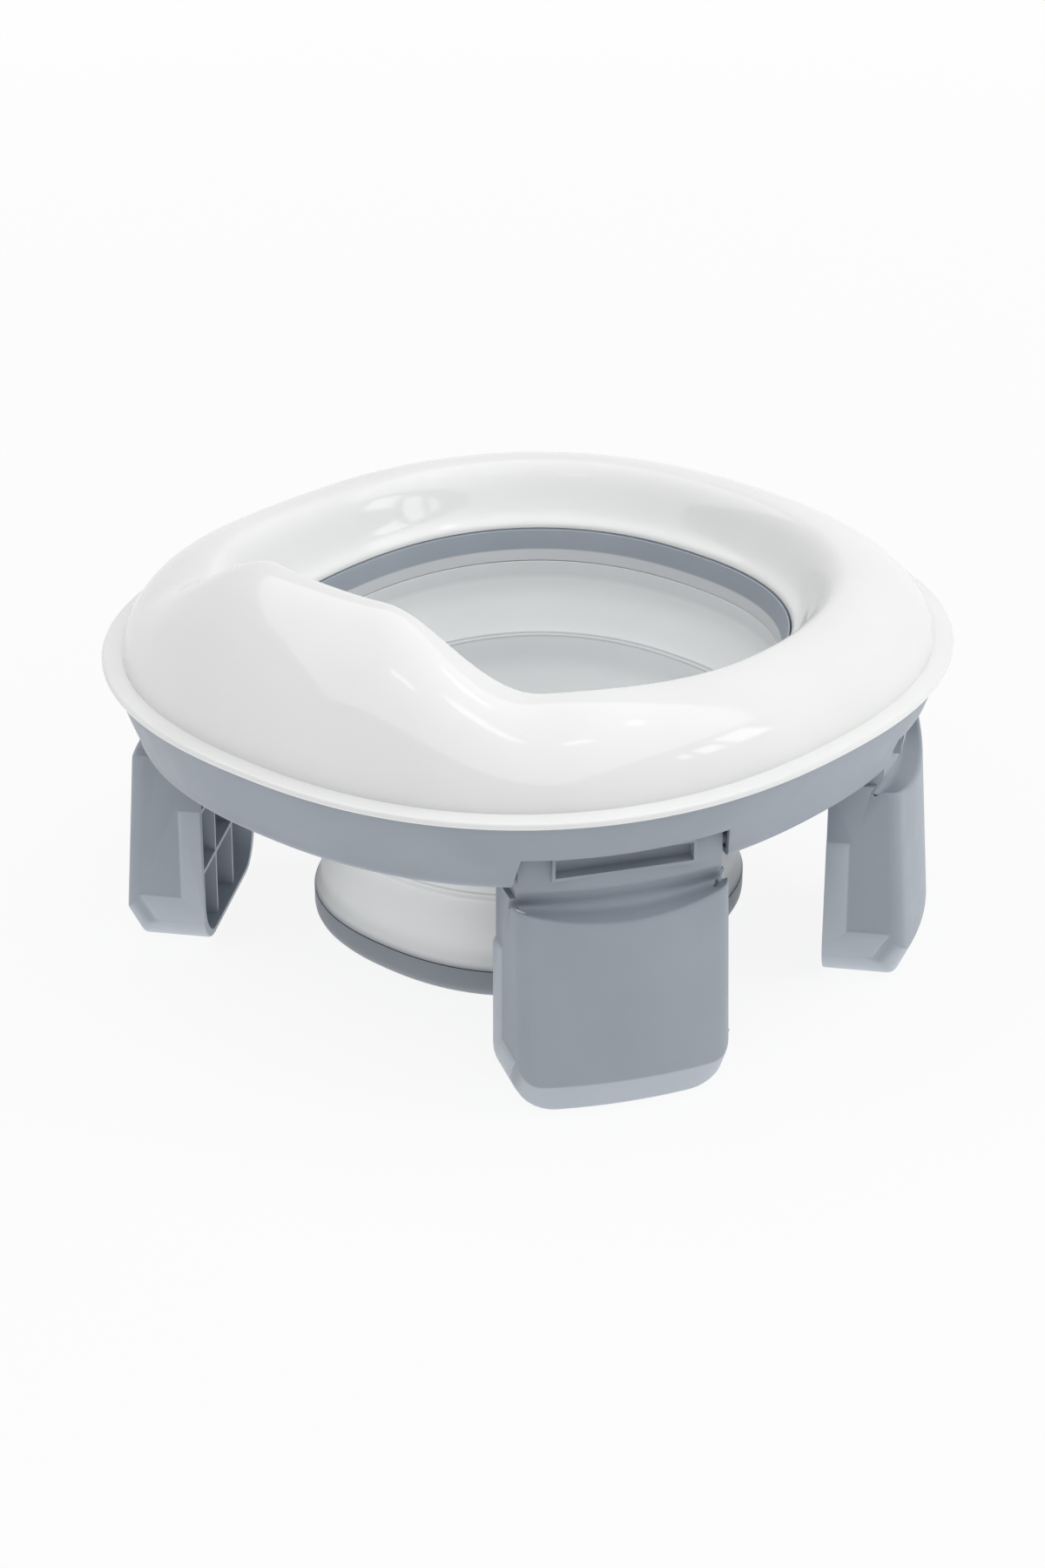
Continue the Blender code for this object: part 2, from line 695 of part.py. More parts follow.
def leg_mesh():
    hollow = sliced_mesh("hollow", hollow_slice)
    hollow = carve(carve(hollow, upright_ribs()), level_ribs())
    boss = rod_mesh("hub_boss", HUB_BOSS_RADIUS, CHEEK_HALF_WIDTH - RUNNING_GAP)
    bore = rod_mesh("bore", PIN_RADIUS + RUNNING_GAP, CHEEK_HALF_WIDTH + CHEEK_WALL)
    mesh = carve(sliced_mesh("leg", leg_slice), side_panels() + hub_sides())
    mesh = carve(mesh, [hollow])
    mesh = carve(mesh, [boss], "UNION")
    mesh = carve(mesh, [pocket_box(POCKET_FRAME, POCKET_FLOOR / 2, POCKET_FRONT)], "UNION")
    return carve(mesh, [pocket_box(0, POCKET_FLOOR, FAR), bore])


def build_legs(grey, steel, frames):
    mesh = leg_mesh()
    pin_mesh = rod_mesh("hinge_pin", PIN_RADIUS, CHEEK_HALF_WIDTH + CHEEK_WALL)
    for name, frame in frames.items():
        leg = place("leg_" + name, mesh)
        pin = place("hinge_pin_" + name, pin_mesh)
        leg.matrix_world = pin.matrix_world = frame
        finish(leg, grey)
        finish(pin, steel)


# Bowl

def tier_insets():
    """Inset of each wall tier's outer face, from the top one inwards."""
    inset = SEAT_BREADTH + RING_LEDGE_WIDTH + RUNNING_GAP
    step = TIER_WALL + TIER_TAPER + RUNNING_GAP + TIER_FLANGE_WIDTH
    return [inset + step * i for i in range(len(TIER_NAMES))]


def tier_tops():
    """Height of each wall tier's top; every tier hangs by its flange on the ledge above."""
    top = LEDGE_TOP + TOUCH_GAP + TIER_FLANGE
    step = TIER_HEIGHT - TIER_LEDGE - TOUCH_GAP - TIER_FLANGE
    return [top - step * i for i in range(len(TIER_NAMES))]


def flange_insets():
    """Inset of each flange's rim: the top one lies on the ring's ledge, the others on the tier above."""
    lower = [inset - TIER_FLANGE_WIDTH for inset in tier_insets()[1:]]
    return [SEAT_BREADTH + BOWL_GAP] + lower


def build_bowl_rim(material):
    """The grey collar, which stands on the top tier's flange and leans in to meet its wall."""
    low = tier_tops()[0] + TOUCH_GAP
    top = low + RIM_HEIGHT
    outer = SEAT_BREADTH + BOWL_GAP
    foot = tier_insets()[0] + TIER_WALL
    section = [(outer, top), (outer, low), (foot, low), (outer + RIM_WALL, top)]
    rim = place("bowl_rim", ring_mesh("bowl_rim", lambda _angle: section, BOWL_SEGMENTS))
    finish(rim, material)


def folding_tier_section(inset, top, flange):
    """A tier with a flange to hang by, a straight top, a tapered foot and a ledge for the next tier."""
    low = top - TIER_HEIGHT
    inner = inset + TIER_WALL
    ledge = inner + TIER_TAPER + TIER_FLANGE_WIDTH
    bend = top - TIER_STRAIGHT
    return [
        (flange, top),
        (flange, top - TIER_FLANGE),
        (inset, top - TIER_FLANGE),
        (inset, bend),
        (inset + TIER_TAPER, low + TIER_LEDGE),
        (inset + TIER_TAPER, low),
        (ledge, low),
        (ledge, low + TIER_LEDGE),
        (inner + TIER_TAPER, low + TIER_LEDGE),
        (inner, bend),
        (inner, top),
    ]


def lowest_tier_section(inset, top, flange):
    """The last tier: a flange, a straight wall and the flared band where it is moulded to the dish."""
    low = top - TIER_HEIGHT
    inner = inset + TIER_WALL
    band = low + FOLD_BAND
    return [
        (flange, top),
        (flange, top - TIER_FLANGE),
        (inset, top - TIER_FLANGE),
        (inset, band),
        (inset - FOLD_FLARE, low),
        (inner - FOLD_FLARE, low),
        (inner, band),
        (inner, top),
    ]


def build_bowl_walls(material):
    for name, inset, top, flange in zip(TIER_NAMES, tier_insets(), tier_tops(), flange_insets()):
        maker = lowest_tier_section if name == TIER_NAMES[-1] else folding_tier_section
        section = maker(inset, top, flange)
        wall = place(name, ring_mesh(name, lambda _angle: section, BOWL_SEGMENTS))
        finish(wall, material)


def build_bowl_dish(material):
    outer = tier_insets()[-1] - FOLD_FLARE
    top = tier_tops()[-1] - TIER_HEIGHT - TOUCH_GAP
    low = top - DISH_HEIGHT
    upstand = outer + TIER_WALL + FOLD_FLARE + RUNNING_GAP
    inner = upstand + DISH_UPSTAND_WALL
    floor = low + DISH_FLOOR
    corner = [(outer + DISH_CORNER * (1 - c), low + DISH_CORNER * (1 - s)) for s, c in arc_shares(2)]
    middle = LIP_HALF_WIDTH / 2 + DISH_CORNER
    outline = [(middle, low)] + corner[::-1] + [
        (outer, top),
        (upstand, top),
        (upstand, top + DISH_UPSTAND),
        (inner, top + DISH_UPSTAND),
        (inner, floor + DISH_FLOOR),
        (inner + DISH_FLOOR, floor),
        (middle + DISH_FLOOR, floor),
    ]
    dish = place("bowl_dish", dish_mesh("bowl_dish", outline, BOWL_SEGMENTS))
    finish(dish, material)


# Screws

def build_screws(material):
    """Pan-head screws with a slot, driven up from under the base ring."""
    shoulder = SCREW_SEAT - TOUCH_GAP
    under = shoulder - SCREW_HEAD
    outline = (
        (SCREW_HEAD_RADIUS - SCREW_HEAD / 2, under),
        (SCREW_HEAD_RADIUS, under + SCREW_HEAD / 2),
        (SCREW_HEAD_RADIUS, shoulder),
        (SCREW_SHANK, shoulder),
        (SCREW_SHANK, shoulder + SCREW_LENGTH - SCREW_SHANK),
        (SCREW_SHANK / 2, shoulder + SCREW_LENGTH),
    )
    half = SCREW_SLOT / 2
    slot_low = (-SCREW_HEAD_RADIUS * 2, -half, under - SCREW_HEAD)
    slot_high = (SCREW_HEAD_RADIUS * 2, half, under + SCREW_HEAD / 2)
    mesh = carve(turned_mesh("screw", outline), [box_mesh("slot", slot_low, slot_high)])
    for name, frame in screw_frames().items():
        screw = place("seat_screw_" + name, mesh)
        screw.matrix_world = frame
        finish(screw, material)


def main():
    clear_scene()
    white, grey, soft, steel = (make_material(name) for name in PLASTICS)
    frames = leg_frames()
    build_seat(white)
    build_base_ring(grey, frames)
    build_legs(grey, steel, frames)
    build_bowl_rim(grey)
    build_bowl_walls(soft)
    build_bowl_dish(grey)
    build_screws(steel)


main()
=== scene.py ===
"""Looks of the folding travel potty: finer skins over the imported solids, plastics and a plain studio.

Metres, +Z up, the splash guard faces -Y. The sizes repeat the part's own, so the skins lie on the solids.
Only the collar's skin is thinner than its solid, at the top.
"""

import math

import bmesh
import bpy
from mathutils import Matrix, Vector


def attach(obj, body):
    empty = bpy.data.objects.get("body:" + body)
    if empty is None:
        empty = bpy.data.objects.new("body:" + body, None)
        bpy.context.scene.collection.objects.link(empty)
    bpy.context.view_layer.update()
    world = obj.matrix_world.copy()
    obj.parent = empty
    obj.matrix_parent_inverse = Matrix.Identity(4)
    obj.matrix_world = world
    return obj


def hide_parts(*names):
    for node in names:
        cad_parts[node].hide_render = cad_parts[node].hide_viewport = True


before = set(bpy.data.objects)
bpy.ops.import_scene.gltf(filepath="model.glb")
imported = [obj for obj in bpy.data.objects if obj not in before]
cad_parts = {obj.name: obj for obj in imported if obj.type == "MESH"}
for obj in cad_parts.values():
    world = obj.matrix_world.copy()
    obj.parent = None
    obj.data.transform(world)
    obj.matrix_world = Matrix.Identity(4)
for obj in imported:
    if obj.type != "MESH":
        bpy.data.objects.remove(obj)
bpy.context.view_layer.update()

MM = 0.001
WELD = 0.001 * MM
FLAT_ANGLE = math.radians(0.3)
SHARP_ANGLE = math.radians(32)

# Fineness of the skins
RING_SEGMENTS = 208
BOWL_SEGMENTS = 160
RISE_STEPS = 30
FALL_STEPS = 22
UNDERSIDE_STEPS = 8
ROLL_STEPS = 8
UNDERSIDE_ROLL_STEPS = 3
ROUND_STEPS = 5
BEND_STEPS = 4
ROUND_SIDES = 24
ROUND_TURN = math.radians(11)
EDGE_SOFTENING = 0.35 * MM
EDGE_STEPS = 2
LEG_FACE_SLICES = 6
LEG_FOOT_SLICES = 9
LEG_EDGE_SLICES = 6
LEG_LEAST_STEP = 0.004

# How far the soft bend at a corner reaches, and the most of an edge that it may take
BEND_MOST_SHARE = 0.45
HUB_BEND = 0.8 * MM
SKIRT_BEND = 1 * MM
LOWER_LEG_BENDS = (3 * MM, 2 * MM, 0.8 * MM, 1.5 * MM, 0, 1 * MM, 2 * MM)
FOOT_BEND = 0.8 * MM
INNER_RIM_BEND = 1 * MM
COLLAR_BEND = 0.3 * MM
TIER_BEND = 0.4 * MM
TIER_WALL_BEND = 5 * MM
TIER_FOOT_BEND = 4 * MM

# Plan outline and fits
LIP_HALF_WIDTH = 162 * MM
LIP_HALF_LENGTH = 168.5 * MM
PLAN_POWER = 2.3
TOUCH_GAP = 0.3 * MM
RUNNING_GAP = 0.3 * MM
BOWL_GAP = 0.6 * MM

# Legs and hinges
LEG_HEIGHT = 102.3 * MM
LEG_NORMAL_ANGLE = math.radians(58.5)
HINGE_INSET = 12.8 * MM
HINGE_SHIFT = 4.3 * MM
HINGE_ABOVE_RING = 7.5 * MM
LEG_HALF_WIDTH = 44 * MM
LEG_WALL = 2.4 * MM
LEG_BULGE = 6 * MM
HUB_HALF_WIDTH = 40.7 * MM
HUB_RADIUS = 9.8 * MM
HUB_FRONT = 5 * MM
HUB_SKIRT = 9.5 * MM
GROOVE_DEPTH = 4.9 * MM
GROOVE_BELOW = 16.8 * MM
SADDLE_OUT = 2.4 * MM
SADDLE_BELOW = 20.4 * MM
SHOULDER_OUT = 11.6 * MM
SHOULDER_BELOW = 15.8 * MM
SHOULDER_SAG = 1.3
SHOULDER_ROUND = 1.2 * MM
FACE_LEAN = math.radians(3.7)
FACE_CORNER = 9 * MM
TOE_HEIGHT = 14 * MM
TOE_DEPTH = 6.5 * MM
TOE_LEAST = 4 * MM
FOOT_CORNER = 17 * MM
EDGE_ROUND = 5 * MM
RIM_BACK = 15.5 * MM
RIM_LEAN = math.radians(0.4)
RIM_BAND = 8 * MM
RIM_BAND_BELOW = 38 * MM
SIDE_RECESS = 1.2 * MM
SIDE_FLARE = 2.5 * MM
SIDE_PANEL_FOOT = 22 * MM
RIB_THICKNESS = 1.8 * MM
RIB_COLUMNS = 3
RIB_PITCH = 28 * MM
RIB_LOWEST = 31 * MM
RIB_ROWS = 2
RIB_SET_BACK = 1.5 * MM
POCKET_HALF_WIDTH = 27.4 * MM
POCKET_HEIGHT = 7.4 * MM
POCKET_BELOW = 3 * MM
POCKET_FLOOR = 5.6 * MM
POCKET_FRAME = 1.3 * MM
POCKET_FRONT = 11.3 * MM
PIN_RADIUS = 1.75 * MM
HUB_BOSS_RADIUS = 3.2 * MM

# Base ring
RING_HEIGHT = 31.7 * MM
RING_TOP_INSET = 3.5 * MM
RING_BOTTOM_INSET = 14.5 * MM
RING_WALL_POWER = 1.15
RING_FACE_STEPS = 8
RING_WALL = 2.6 * MM
RING_CORNER = 5 * MM
RING_LEDGE_BELOW = 9.5 * MM
RING_LEDGE = 2.7 * MM
RING_LEDGE_WIDTH = 3.4 * MM
NOTCH_HEIGHT = 15.2 * MM
NOTCH_TOP_HALF_WIDTH = 41.6 * MM
NOTCH_FLARE = 2.2 * MM
CHEEK_WALL = 2.6 * MM
CHEEK_RISE = 10 * MM

# Seat
SEAT_BREADTH = 63 * MM
SEAT_WALL = 2.6 * MM
DOME_POWER = 1.8
SEAT_RISE = 29.2 * MM
SEAT_EDGE_RISE = 5.5 * MM
SEAT_CREST_INSET = 42 * MM
SIDE_RISE = 5.8 * MM
SIDE_HIGH_ANGLE = math.radians(50)
SIDE_LOW_ANGLE = math.radians(97)
ROLL_WIDTH = 4.5 * MM
ROLL_DROP = 5.5 * MM
SLOPE_TOP_SHARE = 0.5
SLOPE_FOOT_SHARE = 0.3
SLOPE_RISE_SHARE = 0.35
LIP_THICKNESS = 3 * MM
LIP_WIDTH = 8 * MM
LIP_ROUND = 1.2 * MM
GUARD_RISE = 27 * MM
GUARD_CREST_INSET = 52 * MM
GUARD_FLAT_ANGLE = math.radians(12)
GUARD_END_ANGLE = math.radians(45)

# Bowl
RIM_HEIGHT = 12.6 * MM
RIM_EDGE = 0.8 * MM
TIER_HEIGHT = 34.9 * MM
TIER_WALL = 1.2 * MM
TIER_FLANGE = 1.7 * MM
TIER_FLANGE_WIDTH = 0.6 * MM
TIER_LEDGE = 2 * MM
TIER_TAPER = 5.8 * MM
TIER_STRAIGHT = 13.5 * MM
TIER_BODIES = {
    "bowl_wall_upper": "bowl",
    "bowl_wall_middle": "bowl_middle",
    "bowl_wall_lower": "bowl_bottom",
}
FOLD_BAND = 6 * MM
FOLD_FLARE = 2.9 * MM
DISH_HEIGHT = 12.7 * MM
DISH_FLOOR = 2.5 * MM
DISH_CORNER = 6 * MM
DISH_UPSTAND = 4 * MM
DISH_UPSTAND_WALL = 2 * MM

# Screws between base ring and seat
SCREW_ANGLES = {"front": 0, "right": 90, "rear_right": 158, "rear_left": 202, "left": 270}
SCREW_SHANK = 1.4 * MM
SCREW_HEAD_RADIUS = 3.5 * MM
SCREW_SINK = 6.5 * MM
BOSS_RADIUS = 6.5 * MM
BOSS_TOP = 18.5 * MM
POST_RADIUS = 4.5 * MM

# Heights that follow from the sizes above
RING_BOTTOM = LEG_HEIGHT - HINGE_ABOVE_RING
RING_TOP = RING_BOTTOM + RING_HEIGHT
LIP_BOTTOM = RING_TOP + TOUCH_GAP
LIP_TOP = LIP_BOTTOM + LIP_THICKNESS
SEAT_CREST = LIP_BOTTOM + SEAT_RISE
SEAT_EDGE = LIP_BOTTOM + SEAT_EDGE_RISE
LEDGE_TOP = RING_TOP - RING_LEDGE_BELOW
BOSS_FACE = RING_BOTTOM + BOSS_TOP
SCREW_SEAT = RING_BOTTOM + SCREW_SINK
BAY_HALF_WIDTH = NOTCH_TOP_HALF_WIDTH + NOTCH_FLARE
CHEEK_HALF_WIDTH = BAY_HALF_WIDTH + TOUCH_GAP
FAR = LIP_HALF_LENGTH

# Colours, each from its darkest to its lightest
SEAT_WHITE = (241, 242, 241), (245, 246, 245)
SOFT_WHITE = (245, 247, 247), (249, 250, 250)
# The rubber's white darkened by painted shade, for the fold edges and the collar's foot
SHADED_WHITE = (209, 211, 213), (213, 215, 217)
RING_GREY = (153, 161, 171), (159, 167, 177)
# The ring's grey with painted light from the floor, for a leg's foot chamfer and rim band
BOUNCE_LIT_GREY = (178, 186, 195), (183, 191, 200)
DISH_GREY = (128, 135, 144), (134, 141, 150)
STEEL_GREY = (184, 186, 190), (198, 200, 204)
NOISE_LOW = 0.3
NOISE_HIGH = 0.7
DRAWN_STRETCH = (1, 1, 0.05)

# Where a leg's painted light from the floor starts and where it is full: how far a face looks down, and how
# low it lies
BOUNCE_LIT_FACING = (-0.12, -0.3)
BOUNCE_LIT_HEIGHTS = (-0.7 * LEG_HEIGHT, -0.75 * LEG_HEIGHT)

# Painted shade on the bowl: the white lap on the collar's foot in a white with painted shade, the painted
# shade on the fold edges and the painted shade of the fold under the collar
RIM_LAP = 5.1 * MM
RIM_LAP_FADE = 0.8 * MM
FOLD_EDGE = 0.4 * MM
UPPER_FOLD = 7 * MM
UPPER_FOLD_FADE = 1.2 * MM
UPPER_FOLD_SHADE = 0.4

# Soft boxes: name, azimuth and rise in degrees, distance, size and glow; the panes are for the gloss
SOFT_BOXES = (
    ("top_box", 15, 78, 2.0, (4.4, 4.4), 1.22),
    ("side_box", 138, 20, 3.0, (3.6, 2.2), 1.4),
    ("window_pane_near", 102, 33, 2.0, (0.12, 0.2), 2.7),
    ("window_pane_middle", 112, 33.5, 2.0, (0.24, 0.24), 2.7),
    ("window_pane_far", 126, 35, 2.0, (0.36, 0.34), 2.7),
    ("roof_pane_front", 15, 62, 2.0, (0.4, 0.12), 2.3),
    ("roof_pane_right", 80, 68, 2.0, (0.3, 0.12), 2.3),
    ("roof_pane_back", 143, 66, 2.0, (0.2, 0.12), 2.3),
)

# Boxes that light the part but do not show in the gloss
UNMIRRORED_BOXES = {"side_box"}

# Floor and room
FLOOR_HALF = 6.0
PAPER_TINT = (0.92, 0.92, 0.92, 1)
PAPER_WHITE_SHARE = 0.88
PAPER_FADE_START = LIP_HALF_LENGTH * 2
PAPER_FADE_END = LIP_HALF_LENGTH * 10
PLAIN_WHITE = 1.0
FLOOR_BOUNCE = 1.05
ROOM_LIGHT = 0.04

# Camera, fitted to the photograph's 1200 by 1800 frame
CAMERA_TURN = math.radians(41.63)
CAMERA_RISE = math.radians(25.94)
CAMERA_DISTANCE = 1.7
CAMERA_ASIDE = -2.91 * MM
CAMERA_AIM_HEIGHT = 62.15 * MM
CAMERA_SENSOR = 36
CAMERA_LENS = 94.52


# Mesh tools

def mesh_from(name, points, faces):
    mesh = bpy.data.meshes.new(name)
    work = bmesh.new()
    corners = [work.verts.new(point) for point in points]
    for face in faces:
        work.faces.new([corners[i] for i in face])
    work.normal_update()
    bmesh.ops.recalc_face_normals(work, faces=work.faces)
    work.to_mesh(mesh)
    work.free()
    return mesh


def place(name, mesh):
    obj = bpy.data.objects.new(name, mesh)
    bpy.context.scene.collection.objects.link(obj)
    return obj


def moved(mesh, spot):
    mesh.transform(spot)
    return mesh


def evaluated(obj):
    """The mesh that an object's modifiers give, as a copy."""
    bpy.context.view_layer.update()
    graph = bpy.context.evaluated_depsgraph_get()
    return bpy.data.meshes.new_from_object(obj.evaluated_get(graph))


def carve(mesh, tools, operation="DIFFERENCE"):
    """Cut each tool out of a mesh in turn, or with UNION add each to it."""
    for tool_mesh in tools:
        target = place("target", mesh)
        tool = place("tool", tool_mesh)
        step = target.modifiers.new("carve", "BOOLEAN")
        step.operation = operation
        step.solver = "EXACT"
        step.object = tool
        mesh = tidied(evaluated(target))
        bpy.data.objects.remove(target)
        bpy.data.objects.remove(tool)
    return mesh


def tidied(mesh, triangles=True):
    """Weld doubled points and make each flat area one face, then triangles if asked for."""
    work = bmesh.new()
    work.from_mesh(mesh)
    bmesh.ops.remove_doubles(work, verts=work.verts, dist=WELD)
    bmesh.ops.dissolve_limit(work, angle_limit=FLAT_ANGLE, verts=work.verts, edges=work.edges)
    if triangles:
        bmesh.ops.triangulate(work, faces=work.faces)
    work.to_mesh(mesh)
    work.free()
    return mesh


def softened(mesh):
    """Break the sharp edges that cuts leave."""
    obj = place("soften", tidied(mesh, triangles=False))
    bevel = obj.modifiers.new("edges", "BEVEL")
    bevel.width = EDGE_SOFTENING
    bevel.segments = EDGE_STEPS
    bevel.limit_method = "ANGLE"
    bevel.angle_limit = SHARP_ANGLE
    bevel.use_clamp_overlap = True
    soft = evaluated(obj)
    bpy.data.objects.remove(obj)
    return soft


def strip_faces(rows, columns):
    """Quads of a grid that closes on itself along each row, and a face over each end."""
    faces = [tuple(range(columns)), tuple(range((rows - 1) * columns, rows * columns))]
    for i in range(rows - 1):
        low, high = i * columns, (i + 1) * columns
        for j in range(columns):
            k = (j + 1) % columns
            faces.append((low + j, low + k, high + k, high + j))
    return faces


def loop_faces(rows, columns):
    """Quads of a grid that closes on itself both ways."""
    for i in range(rows):
        for j in range(columns):
            k, m = (i + 1) % rows, (j + 1) % columns
            yield i * columns + j, k * columns + j, k * columns + m, i * columns + m


def plan_point(inset, angle):
    """A point of the lip curve drawn in by an inset; angle 0 is the front and 90 degrees the right."""
    across, along = math.sin(angle), -math.cos(angle)
    power = 2 / PLAN_POWER
    x = math.copysign(abs(across) ** power, across) * (LIP_HALF_WIDTH - inset)
    y = math.copysign(abs(along) ** power, along) * (LIP_HALF_LENGTH - inset)
    return x, y


def ring_mesh(name, section, segments):
    """Sweep a closed section of (inset, height) pairs round the plan curve."""
    points = []
    for i in range(segments):
        angle = 2 * math.pi * i / segments
        outline = section(angle)
        points += [(*plan_point(inset, angle), z) for inset, z in outline]
    return mesh_from(name, points, loop_faces(segments, len(outline)))


def dish_mesh(name, outline, segments):
    """Sweep an outline that starts and ends flat in the middle, and close both flats."""
    points = []
    for inset, z in outline:
        points += [(*plan_point(inset, 2 * math.pi * i / segments), z) for i in range(segments)]
    return mesh_from(name, points, strip_faces(len(outline), segments))


def box_mesh(name, low, high):
    points = [(x, y, z) for x in (low[0], high[0]) for y in (low[1], high[1]) for z in (low[2], high[2])]
    faces = ((0, 1, 3, 2), (4, 6, 7, 5), (0, 4, 5, 1), (2, 3, 7, 6), (0, 2, 6, 4), (1, 5, 7, 3))
    return mesh_from(name, points, faces)


def turned_mesh(name, outline):
    """Turn an outline of (radius, height) pairs about Z and close its ends."""
    points = []
    for radius, z in outline:
        for i in range(ROUND_SIDES):
            turn = ROUND_TURN + 2 * math.pi * i / ROUND_SIDES
            points.append((radius * math.cos(turn), radius * math.sin(turn), z))
    return mesh_from(name, points, strip_faces(len(outline), ROUND_SIDES))


def rod_mesh(name, radius, half_length):
    """A round rod along Y."""
    mesh = turned_mesh(name, ((radius, -half_length), (radius, half_length)))
    return moved(mesh, Matrix.Rotation(math.pi / 2, 4, "X"))


def prism_mesh(name, near, far):
    """Join two like outlines of points into a closed prism."""
    return mesh_from(name, list(near) + list(far), strip_faces(2, len(near)))


def arc_shares(steps):
    """Sine and cosine pairs over a quarter turn."""
    turns = [math.pi / 2 * i / steps for i in range(steps + 1)]
    return [(math.sin(turn), abs(math.cos(turn))) for turn in turns]


def eased(corners):
    """Points along an outline of (across, up, reach) corners, with a soft bend over the reach of each."""
    points = []
    for i, (across, up, reach) in enumerate(corners):
        here = Vector((across, up))
        if reach == 0:
            points.append(here)
            continue
        before = Vector(corners[i - 1][:2]) - here
        after = Vector(corners[(i + 1) % len(corners)][:2]) - here
        start = here + before.normalized() * min(reach, before.length * BEND_MOST_SHARE)
        end = here + after.normalized() * min(reach, after.length * BEND_MOST_SHARE)
        for k in range(BEND_STEPS + 1):
            share = k / BEND_STEPS
            points.append(start.lerp(here, share).lerp(here.lerp(end, share), share))
    return points


# Seat

def front_share(angle, full, end):
    """One from the front as far as an angle, then falling smoothly to nothing at another."""
    from_front = abs((angle + math.pi) % (2 * math.pi) - math.pi)
    share = min(max((from_front - full) / (end - full), 0), 1)
    return 1 - share * share * (3 - 2 * share)


def crest_at(angle):
    """Inset and height of the seat's highest line, which climbs from the back to the guard."""
    guard = front_share(angle, GUARD_FLAT_ANGLE, GUARD_END_ANGLE)
    side = front_share(angle, SIDE_HIGH_ANGLE, SIDE_LOW_ANGLE)
    inset = SEAT_CREST_INSET + (GUARD_CREST_INSET - SEAT_CREST_INSET) * guard
    return inset, SEAT_CREST + SIDE_RISE * side + GUARD_RISE * guard


def bezier(start, pull, push, end, steps):
    """Points after the start along a curve that leaves towards one handle and arrives from another."""
    handles = (start, pull, push, end)
    points = []
    for i in range(1, steps + 1):
        t = i / steps
        shares = ((1 - t) ** 3, 3 * t * (1 - t) ** 2, 3 * t * t * (1 - t), t ** 3)
        points.append(tuple(sum(k * p[n] for k, p in zip(shares, handles)) for n in (0, 1)))
    return points


def inner_slope(crest_inset, crest, edge, slope_steps, roll_steps):
    """The funnel from the crest down to a small roll at the opening."""
    roll = (edge - ROLL_WIDTH, SEAT_EDGE + ROLL_DROP)
    width, drop = roll[0] - crest_inset, crest - roll[1]
    pull = (crest_inset + SLOPE_TOP_SHARE * width, crest)
    push = (roll[0] - SLOPE_FOOT_SHARE * width, roll[1] + SLOPE_RISE_SHARE * drop)
    funnel = bezier((crest_inset, crest), pull, push, roll, slope_steps)
    lead = ROLL_DROP / 2 / (push[1] - roll[1])
    turn_in = (min(roll[0] + lead * (roll[0] - push[0]), edge), SEAT_EDGE + ROLL_DROP / 2)
    turn_down = (edge, SEAT_EDGE + ROLL_DROP / 2)
    return funnel + bezier(roll, turn_in, turn_down, (edge, SEAT_EDGE), roll_steps)


def seat_skin(angle, wall, rise_steps, slope_steps, roll_steps):
    """The domed skin from the lip's inner edge over the crest to the opening, drawn in by a wall."""
    crest_inset, crest = crest_at(angle)
    foot = LIP_TOP if wall == 0 else LIP_BOTTOM
    rise = crest - wall - foot
    outside = crest_inset - LIP_WIDTH - wall
    flat = 2 / DOME_POWER
    rising = [
        (crest_inset - outside * c ** flat, foot + rise * s ** flat)
        for s, c in arc_shares(rise_steps)
    ]
    return rising + inner_slope(crest_inset, crest - wall, SEAT_BREADTH - wall, slope_steps, roll_steps)


def seat_section(angle):
    low, high = LIP_BOTTOM + LIP_ROUND, LIP_TOP - LIP_ROUND
    lip = [(LIP_ROUND * (1 - s), low - LIP_ROUND * c) for s, c in arc_shares(ROUND_STEPS)]
    lip += [(LIP_ROUND * (1 - c), high + LIP_ROUND * s) for s, c in arc_shares(ROUND_STEPS)]
    top = seat_skin(angle, 0, RISE_STEPS, FALL_STEPS, ROLL_STEPS)
    under = seat_skin(angle, SEAT_WALL, UNDERSIDE_STEPS, UNDERSIDE_STEPS, UNDERSIDE_ROLL_STEPS)
    return lip + top + under[::-1]


def dome_height(angle, inset):
    """Height of the dome's outer side at an inset."""
    crest_inset, crest = crest_at(angle)
    flat = 2 / DOME_POWER
    cosine = ((crest_inset - inset) / (crest_inset - LIP_WIDTH)) ** (1 / flat)
    return LIP_TOP + (crest - LIP_TOP) * math.sqrt(1 - cosine * cosine) ** flat


def screw_frames():
    """Where each screw stands, under the top of the dome."""
    frames = {}
    for name, degrees in SCREW_ANGLES.items():
        spot = plan_point(SEAT_CREST_INSET, math.radians(degrees))
        frames[name] = Matrix.Translation((*spot, 0))
    return frames


def seat_mesh():
    """The domed skin with screw posts under it."""
    posts = []
    for name, spot in screw_frames().items():
        head = dome_height(math.radians(SCREW_ANGLES[name]), SEAT_CREST_INSET - POST_RADIUS) - SEAT_WALL / 2
        outline = ((POST_RADIUS, BOSS_FACE + TOUCH_GAP), (POST_RADIUS, head))
        posts.append(moved(turned_mesh("post", outline), spot))
    return carve(ring_mesh("seat", seat_section, RING_SEGMENTS), posts, "UNION")


# Base ring

def ring_wall_inset(z):
    """Inset of the ring's outer face, which leans in towards the bottom."""
    share = (RING_TOP - z) / RING_HEIGHT
    return RING_TOP_INSET + (RING_BOTTOM_INSET - RING_TOP_INSET) * share ** RING_WALL_POWER


def ring_outer_face(wall, corner, bottom, top):
    """The leaning outer face and the round that turns it under, drawn in by a wall."""
    bend = bottom + corner
    heights = [top + (bend - top) * i / RING_FACE_STEPS for i in range(RING_FACE_STEPS + 1)]
    face = [(ring_wall_inset(min(z, RING_TOP)) + wall, z) for z in heights]
    foot_inset = face[-1][0]
    face += [(foot_inset + corner * (1 - c), bend - corner * s) for s, c in arc_shares(ROUND_STEPS)[1:]]
    return face


